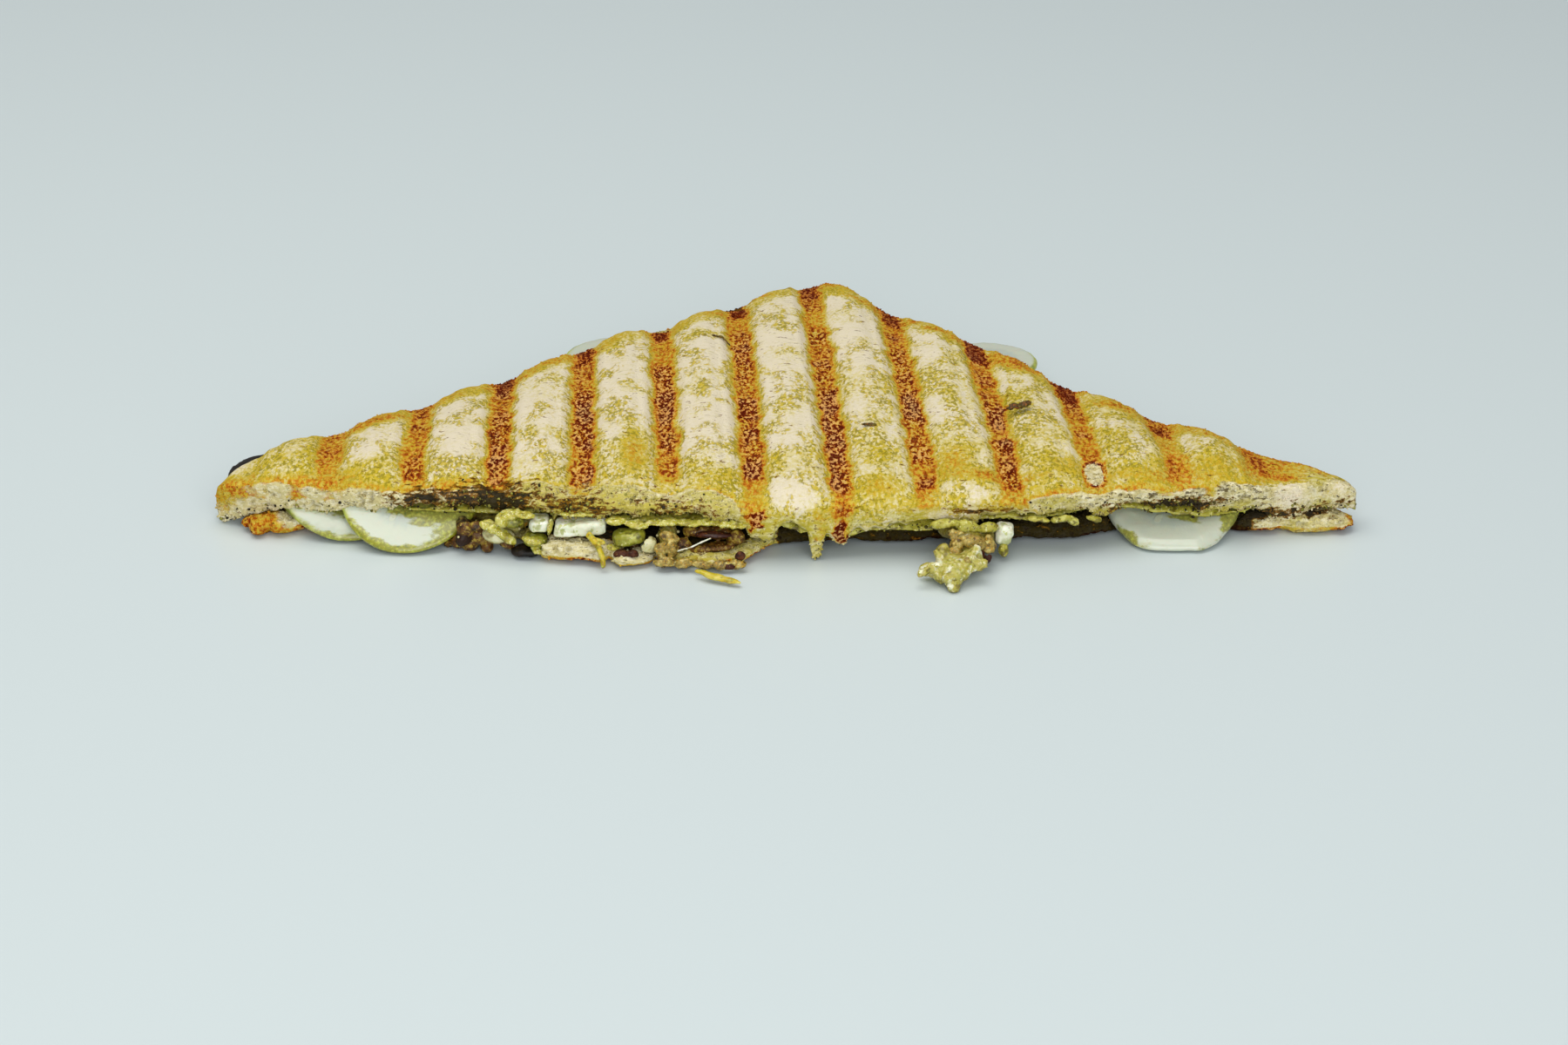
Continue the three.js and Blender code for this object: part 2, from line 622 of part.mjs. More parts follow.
// A box between two corners.
function block(low, high) {
  const corner = (i) => [i & 1 ? high[0] : low[0], i & 2 ? high[1] : low[1], i & 4 ? high[2] : low[2]];
  const faces = [[0, 2, 3, 1], [4, 5, 7, 6], [0, 1, 5, 4], [2, 6, 7, 3], [0, 4, 6, 2], [1, 3, 7, 5]];
  const index = faces.flatMap(([a, b, c, d]) => [a, b, c, a, c, d]);
  return solid([0, 1, 2, 3, 4, 5, 6, 7].flatMap(corner), index);
}

// What the knife took off the right-hand slice, and the surface that it rests on.
const OUTSIDE = 120;
const REST_GAP = 0.25;
const beyondKnife = () => [
  block([-OUTSIDE, -OUTSIDE, -OUTSIDE], [OUTSIDE, KNIFE_Y, OUTSIDE]),
  block([-OUTSIDE, -OUTSIDE, -OUTSIDE], [OUTSIDE, OUTSIDE, REST_GAP]),
];

function assemble() {
  const rounds = Object.entries(ROUND_SLICES);
  const lumps = Object.entries(LUMPS);
  const strips = Object.entries(STRIPS);
  const grown = Object.fromEntries([
    ...rounds.map(([name, piece]) => [name, roundSlice(piece, GAP)]),
    ...lumps.map(([name, piece]) => [name, lump(piece, GAP)]),
    ...strips.map(([name, piece]) => [name, stripWith(piece, GAP)]),
    ["filling_heap", heapWith(GAP)],
  ]);
  const all = Object.values(grown);
  const fillingLumps = (grow) => FILLING_LUMPS.map((piece) => lump(piece, grow));
  const top = topSlice();
  const spread = chutneySpread();
  const lowered = (solidAbove) => solidAbove.translate([0, 0, -GAP / 2]);
  const parts = {
    bread_top: carve(top, all),
    bread_bottom: carve(bottomSlice(), [...all, ...fillingLumps(GAP), lowered(top)]),
    chutney: carve(spread, [...all, ...fillingLumps(GAP), lowered(top)]),
    filling: carve(joined([fillingCore(), ...fillingLumps(0)]), [...all, lowered(spread)]),
    filling_heap: carve(heapWith(0), [grown.potato_cube_right]),
  };
  const order = [...rounds, ...lumps, ...strips].map(([name]) => name);
  for (const [name, piece] of rounds) parts[name] = roundSlice(piece);
  for (const [name, piece] of lumps) parts[name] = lump(piece);
  for (const [name, piece] of strips) parts[name] = stripWith(piece, 0);
  parts.cucumber_right = carve(parts.cucumber_right, beyondKnife());
  order.forEach((name, i) => {
    parts[name] = carve(parts[name], order.slice(0, i).map((earlier) => grown[earlier]));
  });
  return parts;
}

// Colour, roughness and metalness of each kind of food.
const LOOKS = {
  toast: { color: 0xcf9f52, roughness: 0.85 },
  crumb: { color: 0xcdbf8e, roughness: 0.9 },
  chutney: { color: 0x5c6a24, roughness: 0.45 },
  filling: { color: 0xa99b4c, roughness: 0.6 },
  cucumber: { color: 0xb7bd83, roughness: 0.3 },
  beet: { color: 0x2c1b17, roughness: 0.3 },
  potato: { color: 0xd2d6c3, roughness: 0.4 },
  pepper: { color: 0xa4a422, roughness: 0.35 },
  onion: { color: 0xc2c289, roughness: 0.35 },
  shred: { color: 0xc3ac3c, roughness: 0.5 },
};
const LOOK_OF = {
  bread_top: "toast",
  bread_bottom: "crumb",
  chutney: "chutney",
  filling: "filling",
  filling_heap: "filling",
  beet_slice_left: "beet",
  beet_slice_front: "beet",
  potato_cube_small: "potato",
  potato_cube_large: "potato",
  potato_cube_right: "potato",
  green_lump: "pepper",
  pepper_wedge: "pepper",
  green_chunk: "pepper",
  onion_petal: "onion",
  onion_dice: "onion",
  onion_strip: "beet",
  yellow_shred: "shred",
};

// One named mesh from a solid, in its own material.
function meshOf(name, made) {
  const { vertProperties, triVerts } = made.getMesh();
  const geometry = new THREE.BufferGeometry();
  geometry.setAttribute("position", new THREE.BufferAttribute(new Float32Array(vertProperties), 3));
  geometry.setIndex(new THREE.BufferAttribute(new Uint32Array(triVerts), 1));
  const look = LOOKS[LOOK_OF[name] ?? "cucumber"];
  const mesh = new THREE.Mesh(geometry, new THREE.MeshStandardMaterial({ ...look, metalness: 0 }));
  mesh.name = name;
  return mesh;
}

const sandwich = new THREE.Group();
for (const [name, made] of Object.entries(assemble())) sandwich.add(meshOf(name, made));

export default sandwich;
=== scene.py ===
"""Dresses a grilled green chutney sandwich half: toasted bread, chutney, filling and vegetables.

Sizes are millimetres unless a name says otherwise. Meshes are in metres, where the frame has them.
X runs along the cut, -Y is the cut side and Z is up.
"""

import logging
import math
from dataclasses import dataclass
from enum import Enum
from functools import cached_property, reduce
from typing import Callable, Sequence

import bmesh
import bpy
import numpy as np
from mathutils import Matrix, Vector


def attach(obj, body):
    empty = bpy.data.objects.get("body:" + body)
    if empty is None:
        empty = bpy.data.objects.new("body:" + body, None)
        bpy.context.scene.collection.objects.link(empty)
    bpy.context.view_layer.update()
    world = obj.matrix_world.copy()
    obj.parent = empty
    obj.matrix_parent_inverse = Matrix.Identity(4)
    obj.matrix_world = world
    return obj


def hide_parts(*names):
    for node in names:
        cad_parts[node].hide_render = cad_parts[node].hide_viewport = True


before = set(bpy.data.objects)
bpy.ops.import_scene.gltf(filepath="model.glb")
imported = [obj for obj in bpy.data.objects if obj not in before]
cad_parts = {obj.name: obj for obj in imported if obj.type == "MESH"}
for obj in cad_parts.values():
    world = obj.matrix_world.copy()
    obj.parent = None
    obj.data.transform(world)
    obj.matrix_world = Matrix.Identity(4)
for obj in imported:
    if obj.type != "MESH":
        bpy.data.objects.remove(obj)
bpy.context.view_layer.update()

MM = 0.001
BODY = "root"
log = logging.getLogger("sandwich")

Triple = tuple[float, float, float]


class Slot(Enum):
    """The record's material slots."""

    BREAD = "bread"
    CHUTNEY = "chutney"
    FILLING = "filling"
    CUCUMBER = "cucumber"
    BEET = "beet"
    POTATO = "potato"
    PEPPER = "pepper"
    ONION = "onion"
    FRIED_ONION = "fried_onion"
    SHRED = "shred"


def linear(code: str) -> tuple[float, float, float, float]:
    """Turns a display colour such as "#ddd4b4" into Blender's linear values.

    Args:
        code: Red, green and blue as two hexadecimal digits each, after a hash.

    Returns:
        Linear red, green and blue, and an alpha of 1.
    """
    shares = [int(code[i : i + 2], 16) / 255 for i in (1, 3, 5)]
    made = [s / 12.92 if s <= 0.04045 else ((s + 0.055) / 1.055) ** 2.4 for s in shares]
    return (made[0], made[1], made[2], 1.0)


def smooth(values: np.ndarray, low: float, high: float) -> np.ndarray:
    """Rises smoothly from 0 at low to 1 at high.

    Args:
        values: The numbers to map.
        low: Where the result is 0.
        high: Where the result is 1. It may be under low, for a fall.

    Returns:
        Shares between 0 and 1.
    """
    t = np.clip((values - low) / (high - low), 0, 1)
    return t * t * (3 - 2 * t)


def between(values: np.ndarray, start: float, full: float, fading: float, end: float) -> np.ndarray:
    """Rises smoothly from 0 at start to 1 at full, and falls again from fading to end."""
    return smooth(values, start, full) * smooth(values, end, fading)


def highest(*shares: np.ndarray) -> np.ndarray:
    """The highest of several numbers at each point."""
    return reduce(np.maximum, shares)


def clouds(x: np.ndarray, y: np.ndarray, size: tuple[float, float], seed: int) -> np.ndarray:
    """Smooth random patches, the same on each run.

    Args:
        x: First coordinate of each point.
        y: Second coordinate of each point.
        size: Length of a patch along each coordinate.
        seed: Picks the pattern.

    Returns:
        A share between 0 and 1 for each point.
    """
    side = 97
    lattice = np.random.default_rng(seed).random((side, side))
    u, v = x / size[0], y / size[1]
    i, j = np.floor(u).astype(int), np.floor(v).astype(int)
    s, t = smooth(u - i, 0, 1), smooth(v - j, 0, 1)
    near = lattice[i % side, j % side] * (1 - s) + lattice[(i + 1) % side, j % side] * s
    far = lattice[i % side, (j + 1) % side] * (1 - s) + lattice[(i + 1) % side, (j + 1) % side] * s
    return near * (1 - t) + far * t


# Node trees

def arithmetic(operation: str, swapped: bool = False) -> "Callable[[Flow, Flow | float], Flow]":
    """Makes one of Flow's operators.

    Args:
        operation: The Math node's operation.
        swapped: Whether the other value comes first.

    Returns:
        The operator.
    """

    def operator(flow: "Flow", other: "Flow | float") -> "Flow":
        """Adds the Math node."""
        first, second = (other, flow) if swapped else (flow, other)
        return flow.tree.add("ShaderNodeMath", {"operation": operation}, {0: first, 1: second})

    return operator


class Flow:
    """A socket on its way through a node tree, with Python's arithmetic for its number."""

    __add__ = __radd__ = arithmetic("ADD")
    __sub__ = arithmetic("SUBTRACT")
    __rsub__ = arithmetic("SUBTRACT", swapped=True)
    __mul__ = __rmul__ = arithmetic("MULTIPLY")
    __rtruediv__ = arithmetic("DIVIDE", swapped=True)
    most = arithmetic("MAXIMUM")

    def __init__(self, tree: "Tree", socket: bpy.types.NodeSocket) -> None:
        """Wraps a socket of that tree."""
        self.tree = tree
        self.socket = socket

    def step(self, low: float, high: float) -> "Flow":
        """Rises smoothly from 0 at low to 1 at high, or falls if low is over high."""
        settings = {"interpolation_type": "SMOOTHSTEP"}
        return self.tree.add("ShaderNodeMapRange", settings, {0: self, 1: low, 2: high})


class Tree:
    """Adds nodes to one node tree, of a material or of Geometry Nodes."""

    def __init__(self, group: bpy.types.NodeTree) -> None:
        """Works on that tree."""
        self.group = group

    def add(
        self, kind: str, settings: dict | None = None, sockets: dict | None = None, output: int | str = 0
    ) -> Flow:
        """Adds one node.

        Args:
            kind: The node's type.
            settings: Its properties, set before its sockets.
            sockets: A value or a link for each input, by name or number.
            output: The output to go on with.

        Returns:
            That output.
        """
        node = self.group.nodes.new(kind)
        for name, value in (settings or {}).items():
            setattr(node, name, value)
        for key, value in (sockets or {}).items():
            if isinstance(value, Flow):
                self.group.links.new(value.socket, node.inputs[key])
            else:
                node.inputs[key].default_value = value
        return Flow(self, node.outputs[output])

    def vector(self, operation: str, first: Flow, second: "Flow | Sequence[float]") -> Flow:
        """Adds a Vector Math node on two vectors."""
        return self.add("ShaderNodeVectorMath", {"operation": operation}, {0: first, 1: second})

    def scaled(self, vector: Flow, factor: "Flow | float") -> Flow:
        """Makes a vector longer or shorter."""
        return self.add("ShaderNodeVectorMath", {"operation": "SCALE"}, {0: vector, 3: factor})

    def noise(self, place: Flow, detail: float = 2.0, roughness: float = 0.55) -> Flow:
        """Cloudy noise around 0.5, with features about 1 wide in place's unit."""
        sockets = {"Vector": place, "Scale": 1.0, "Detail": detail, "Roughness": roughness}
        return self.add("ShaderNodeTexNoise", None, sockets)

    def cells(self, place: Flow, randomness: float = 1.0) -> Flow:
        """Distance to the nearest of scattered points, about 1 apart in place's unit."""
        sockets = {"Vector": place, "Scale": 1.0, "Randomness": randomness}
        return self.add("ShaderNodeTexVoronoi", None, sockets)


class Paint(Tree):
    """The node tree of one material.

    Attributes:
        SHIFT: How far each seed moves a pattern along X, Y and Z, in widths of its features.
        LIGHT_DEPTH: How deep light goes into moist food.
        material: The material.
    """

    SHIFT = (7.3, 3.1, 5.7)
    LIGHT_DEPTH = 1.5

    def __init__(self, name: str) -> None:
        """Starts an empty material.

        Args:
            name: The material's name.
        """
        self.material = bpy.data.materials.new(name)
        self.material.use_nodes = True
        self.material.node_tree.nodes.clear()
        super().__init__(self.material.node_tree)

    def cloud(
        self, size: float, stretch: Triple = (1, 1, 1), seed: int = 0, detail: float = 2.0, roughness: float = 0.55
    ) -> Flow:
        """Cloudy noise around 0.5 on Object coordinates.

        Args:
            size: Width of its features, in millimetres.
            stretch: How many times wider they are along X, Y and Z.
            seed: Moves the pattern.
            detail: How many finer layers it has.
            roughness: How strong the finer layers are.

        Returns:
            The noise.
        """
        spot = self.add("ShaderNodeTexCoord", None, None, "Object")
        scale = [1 / (MM * size * s) for s in stretch]
        shift = [part * seed for part in self.SHIFT]
        place = self.add("ShaderNodeMapping", None, {"Vector": spot, "Location": shift, "Scale": scale})
        return self.noise(place, detail, roughness)

    def painted(self, name: str) -> Flow:
        """A number painted on the mesh."""
        return self.add("ShaderNodeAttribute", {"attribute_name": name}, None, "Fac")

    def mix(self, first: Flow | str, second: Flow | str, share: Flow | float, blend: str = "MIX") -> Flow:
        """Mixes two colours.

        Args:
            first: A colour or its display code.
            second: A colour or its display code.
            share: How much of the second shows.
            blend: How the second is laid over the first.

        Returns:
            The mixed colour.
        """
        a, b = (linear(c) if isinstance(c, str) else c for c in (first, second))
        settings = {"data_type": "RGBA", "blend_type": blend, "clamp_factor": True}
        return self.add("ShaderNodeMix", settings, {0: share, 6: a, 7: b}, 2)

    def layered(self, colour: Flow | str, *layers: tuple) -> Flow | str:
        """Lays colours over each other.

        Args:
            colour: The lowest colour or its display code.
            layers: What mix takes after its first colour, for each layer over it.

        Returns:
            The colour that shows.
        """
        for layer in layers:
            colour = self.mix(colour, *layer)
        return colour

    def ladder(self, level: Flow, rungs: Sequence[tuple[float, str]]) -> Flow | str:
        """Goes through a row of colours as a level rises.

        Args:
            level: The number that picks the colour.
            rungs: Each level with its display colour, from low to high.

        Returns:
            The colour.
        """
        steps = zip(rungs, rungs[1:])
        return self.layered(rungs[0][1], *((code, level.step(low, high)) for (low, _), (high, code) in steps))

    def bump(self, height: Flow, depth: float, under: Flow | None = None) -> Flow:
        """Fine relief.

        Args:
            height: The relief, between 0 and 1.
            depth: Its depth in millimetres.
            under: A normal that it adds to.

        Returns:
            The new normal.
        """
        sockets = {"Strength": 1.0, "Distance": depth * MM, "Height": height}
        if under is not None:
            sockets["Normal"] = under
        return self.add("ShaderNodeBump", None, sockets)

    def finish(self, sockets: dict) -> bpy.types.Material:
        """Ends the material in one surface.

        Args:
            sockets: Values and links of the surface's inputs, by name.

        Returns:
            The material.
        """
        surface = self.add("ShaderNodeBsdfPrincipled", None, sockets)
        output = self.group.nodes.new("ShaderNodeOutputMaterial")
        self.group.links.new(surface.socket, output.inputs["Surface"])
        return self.material


class Recipe(Tree):
    """A Geometry Nodes tree with named inputs, which turns one mesh into another.

    Attributes:
        sizes: The inputs after the geometry, with the values that they take.
        inputs: All the inputs by name, to build the tree with.
    """

    SOCKETS = {float: "NodeSocketFloat", int: "NodeSocketInt", str: "NodeSocketString"}

    def __init__(self, name: str, sizes: dict[str, float | int | str]) -> None:
        """Starts a tree.

        Args:
            name: The tree's name.
            sizes: Its inputs after the geometry, with the values that they take.
        """
        super().__init__(bpy.data.node_groups.new(name, "GeometryNodeTree"))
        ends = self.group.interface
        ends.new_socket("Geometry", in_out="INPUT", socket_type="NodeSocketGeometry")
        ends.new_socket("Geometry", in_out="OUTPUT", socket_type="NodeSocketGeometry")
        for title, value in sizes.items():
            ends.new_socket(title, in_out="INPUT", socket_type=self.SOCKETS[type(value)])
        self.sizes = sizes
        entry = self.group.nodes.new("NodeGroupInput")
        self.inputs = {socket.name: Flow(self, socket) for socket in entry.outputs if socket.name}

    def painted(self, name: "str | Flow") -> Flow:
        """A number painted on the mesh."""
        settings = {"data_type": "FLOAT"}
        return self.add("GeometryNodeInputNamedAttribute", settings, {"Name": name}, "Attribute")

    def stored(self, geometry: Flow, name: str, value: Flow, domain: str) -> Flow:
        """Paints a number on the geometry."""
        sockets = {"Geometry": geometry, "Name": name, "Value": value}
        return self.add("GeometryNodeStoreNamedAttribute", {"data_type": "FLOAT", "domain": domain}, sockets)

    def run(self, mesh: bpy.types.Mesh, geometry: Flow, material: bpy.types.Material) -> bpy.types.Mesh:
        """Ends the tree and runs it.

        Args:
            mesh: The mesh to start from.
            geometry: The tree's result.
            material: What the result is made of.

        Returns:
            A plain mesh.
        """
        real = self.add("GeometryNodeRealizeInstances", None, {"Geometry": geometry})
        dressed = self.add("GeometryNodeSetMaterial", None, {"Geometry": real, "Material": material})
        output = self.group.nodes.new("NodeGroupOutput")
        self.group.links.new(dressed.socket, output.inputs[0])
        holder = bpy.data.objects.new(self.group.name, mesh)
        modifier = holder.modifiers.new(self.group.name, "NODES")
        modifier.node_group = self.group
        for item in self.group.interface.items_tree:
            if item.in_out == "INPUT" and item.name in self.sizes:
                modifier[item.identifier] = self.sizes[item.name]
        return evaluated(holder)


def evaluated(holder: bpy.types.Object) -> bpy.types.Mesh:
    """Applies an object's modifiers and removes the object.

    Args:
        holder: An object that isn't in the scene yet.

    Returns:
        The plain mesh.
    """
    bpy.context.scene.collection.objects.link(holder)
    graph = bpy.context.evaluated_depsgraph_get()
    made = bpy.data.meshes.new_from_object(
        holder.evaluated_get(graph), preserve_all_data_layers=True, depsgraph=graph
    )
    bpy.data.objects.remove(holder)
    return made


# Meshes

class Surface:
    """A mesh that is shaped and painted.

    Attributes:
        mesh: The mesh.
        points: Its vertices in millimetres, a row each.
        normals: Their normals, as they were before any move.
    """

    def __init__(self, mesh: bpy.types.Mesh) -> None:
        """Reads the points and normals.

        Args:
            mesh: The mesh that is worked on.
        """
        self.mesh = mesh
        flat = np.empty(len(mesh.vertices) * 3, np.float32)
        mesh.vertices.foreach_get("co", flat)
        self.points = flat.reshape(-1, 3).astype(float) / MM
        mesh.vertex_normals.foreach_get("vector", flat)
        self.normals = flat.reshape(-1, 3).astype(float)

    def paint(self, **shares: np.ndarray | float) -> None:
        """Paints numbers on the vertices.

        Args:
            shares: The numbers, between 0 and 1, under the names that they get.
        """
        for name, share in shares.items():
            values = np.broadcast_to(np.clip(share, 0, 1), len(self.points)).astype(np.float32)
            self.mesh.attributes.new(name, "FLOAT", "POINT").data.foreach_set("value", values)

    def move(self, x: np.ndarray | float = 0, y: np.ndarray | float = 0, z: np.ndarray | float = 0) -> None:
        """Moves the vertices.

        Args:
            x: How far each goes along X, in millimetres.
            y: How far along Y.
            z: How far along Z.
        """
        for axis, offset in enumerate((x, y, z)):
            self.points[:, axis] += offset
        self.mesh.vertices.foreach_set("co", (self.points * MM).astype(np.float32).ravel())
        self.mesh.update()


@dataclass(frozen=True)
class Ellipsoid:
    """An ellipsoid, given by its middle and its reach along each axis."""

    at: Triple
    reach: Triple

    @classmethod
    def rows(cls, *rows: tuple[float, ...]) -> "tuple[Ellipsoid, ...]":
        """Makes several from rows of plain numbers, in the order of the fields."""
        return tuple(cls(row[:3], row[3:6], *row[6:]) for row in rows)


@dataclass(frozen=True)
class Spot(Ellipsoid):
    """A soft-edged spot on a surface, with its strength in the middle."""

    strength: float = 1.0

    def on(self, points: np.ndarray) -> np.ndarray:
        """How much of the spot each point has."""
        away = (points - np.array(self.at)) / np.array(self.reach)
        return self.strength * np.exp(-np.sum(away * away, axis=1))


def spotted(points: np.ndarray, spots: Sequence[Spot]) -> np.ndarray:
    """The strongest of several spots at each point."""
    return highest(np.zeros(len(points)), *(spot.on(points) for spot in spots))


@dataclass(frozen=True)
class Skin:
    """A fine, even skin over a copy of a solid, in place of its large facets.

    Attributes:
        cell: Width of its facets.
        rounding: How often the copy is subdivided first.
        smoothing: How often it is smoothed afterwards.
        MERGED: Vertices of the solid that lie nearer than this become one.
    """

    cell: float = 0.3
    rounding: int = 1
    smoothing: int = 4

    MERGED = 0.001

    def over(self, node: str) -> bpy.types.Mesh:
        """Grows the skin over a copy of a node's solid.

        Args:
            node: The node's name.

        Returns:
            A closed mesh.
        """
        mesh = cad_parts[node].data.copy()
        merged = bmesh.new()
        merged.from_mesh(mesh)
        bmesh.ops.remove_doubles(merged, verts=merged.verts, dist=self.MERGED * MM)
        merged.to_mesh(mesh)
        merged.free()
        return self.grow(mesh, node + "_skin")

    def grow(self, mesh: bpy.types.Mesh, name: str) -> bpy.types.Mesh:
        """Grows the skin over closed meshes, and makes one of those that touch.

        Args:
            mesh: The closed meshes, as one.
            name: The skin's name.

        Returns:
            A closed mesh.
        """
        holder = bpy.data.objects.new(name, mesh)
        rounded = holder.modifiers.new("rounded", "SUBSURF")
        rounded.levels = rounded.render_levels = self.rounding
        remeshed = holder.modifiers.new("remeshed", "REMESH")
        remeshed.mode = "VOXEL"
        remeshed.voxel_size = self.cell * MM
        evened = holder.modifiers.new("evened", "SMOOTH")
        evened.iterations = self.smoothing
        made = evaluated(holder)
        made.name = name
        return made


@dataclass(frozen=True)
class Relief:
    """Relief that Geometry Nodes press into a mesh.

    Attributes:
        lump_size: Width of the broad lumps.
        lump_depth: Height of the broad lumps.
        grain_size: Width of the grains, which stand out where "rough" is painted.
        grain_depth: Height of the grains.
        pore_size: Width of the pores, which open where "cut" is painted.
        pore_depth: Depth of the pores.
        fibre_depth: Height of the fine fibres along X where nothing is rough or cut.
        FIBRE: Size of a fibre along X, Y and Z.
    """

    lump_size: float = 3.0
    lump_depth: float = 0.2
    grain_size: float = 0.9
    grain_depth: float = 0.12
    pore_size: float = 1.5
    pore_depth: float = 0.0
    fibre_depth: float = 0.0

    FIBRE = (5.0, 0.8, 0.8)

    def press(self, mesh: bpy.types.Mesh, name: str, material: bpy.types.Material) -> bpy.types.Mesh:
        """Presses the relief into a copy of a mesh, and paints "pore" and "raised" on it.

        Args:
            mesh: The mesh to start from.
            name: The tree's name.
            material: What the result is made of.

        Returns:
            The new mesh.
        """
        tree = Recipe(name, {size.replace("_", " "): value for size, value in vars(self).items()})
        sizes = tree.inputs
        spot = tree.scaled(tree.add("GeometryNodeInputPosition"), 1 / MM)
        rough, cut = tree.painted("rough"), tree.painted("cut")
        lumps = tree.noise(tree.scaled(spot, 1 / sizes["lump size"])) - 0.5
        grains = tree.noise(tree.scaled(spot, 1 / sizes["grain size"]), 3) - 0.5
        fibres = tree.noise(tree.vector("DIVIDE", spot, self.FIBRE), 3) - 0.5
        in_pores = tree.scaled(spot, 1 / sizes["pore size"])
        open_here = tree.noise(tree.scaled(in_pores, 0.45), 1).step(0.36, 0.54)
        pores = tree.cells(in_pores).step(0.52, 0.16) * open_here * cut
        height = 2 * lumps * sizes["lump depth"]
        height = height + 2 * grains * rough * sizes["grain depth"]
        height = height + 2 * fibres * (1 - rough.most(cut)) * sizes["fibre depth"]
        height = height - pores * sizes["pore depth"]
        offset = tree.scaled(tree.add("GeometryNodeInputNormal"), height * MM)
        painted = tree.stored(sizes["Geometry"], "pore", pores, "POINT")
        painted = tree.stored(painted, "raised", 0.5 + lumps + 0.8 * grains * rough, "POINT")
        pressed = tree.add("GeometryNodeSetPosition", None, {"Geometry": painted, "Offset": offset})
        return tree.run(mesh, pressed, material)


def place(name: str, mesh: bpy.types.Mesh, finish: "Finish", *replaced: str) -> None:
    """Puts a finished mesh into the scene as a piece of the sandwich, with nothing of it under the floor.

    Args:
        name: The piece's name.
        mesh: Its mesh, already in place.
        finish: What it is made of.
        replaced: The nodes that it stands for.
    """
    surface = Surface(mesh)
    surface.move(z=np.maximum(-surface.points[:, 2], 0))
    mesh.materials.clear()
    mesh.materials.append(finish.material)
    mesh.polygons.foreach_set("use_smooth", np.ones(len(mesh.polygons), bool))
    mesh.update()
    piece = bpy.data.objects.new(name, mesh)
    bpy.context.scene.collection.objects.link(piece)
    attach(piece, BODY)
    if replaced:
        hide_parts(*replaced)
    log.info("%s: %d triangles", name, sum(len(face.vertices) - 2 for face in mesh.polygons))


def dress(name: str, surface: Surface, relief: Relief, finish: "Finish", *replaced: str) -> bpy.types.Mesh:
    """Presses relief into a painted surface and makes a piece of it.

    Args:
        name: The piece's name.
        surface: Its surface, already in place.
        relief: Its relief.
        finish: What it is made of.
        replaced: The nodes that it stands for.

    Returns:
        The piece's mesh.
    """
    mesh = relief.press(surface.mesh, name + " relief", finish.material)
    place(name, mesh, finish, *replaced)
    return mesh


# Finishes

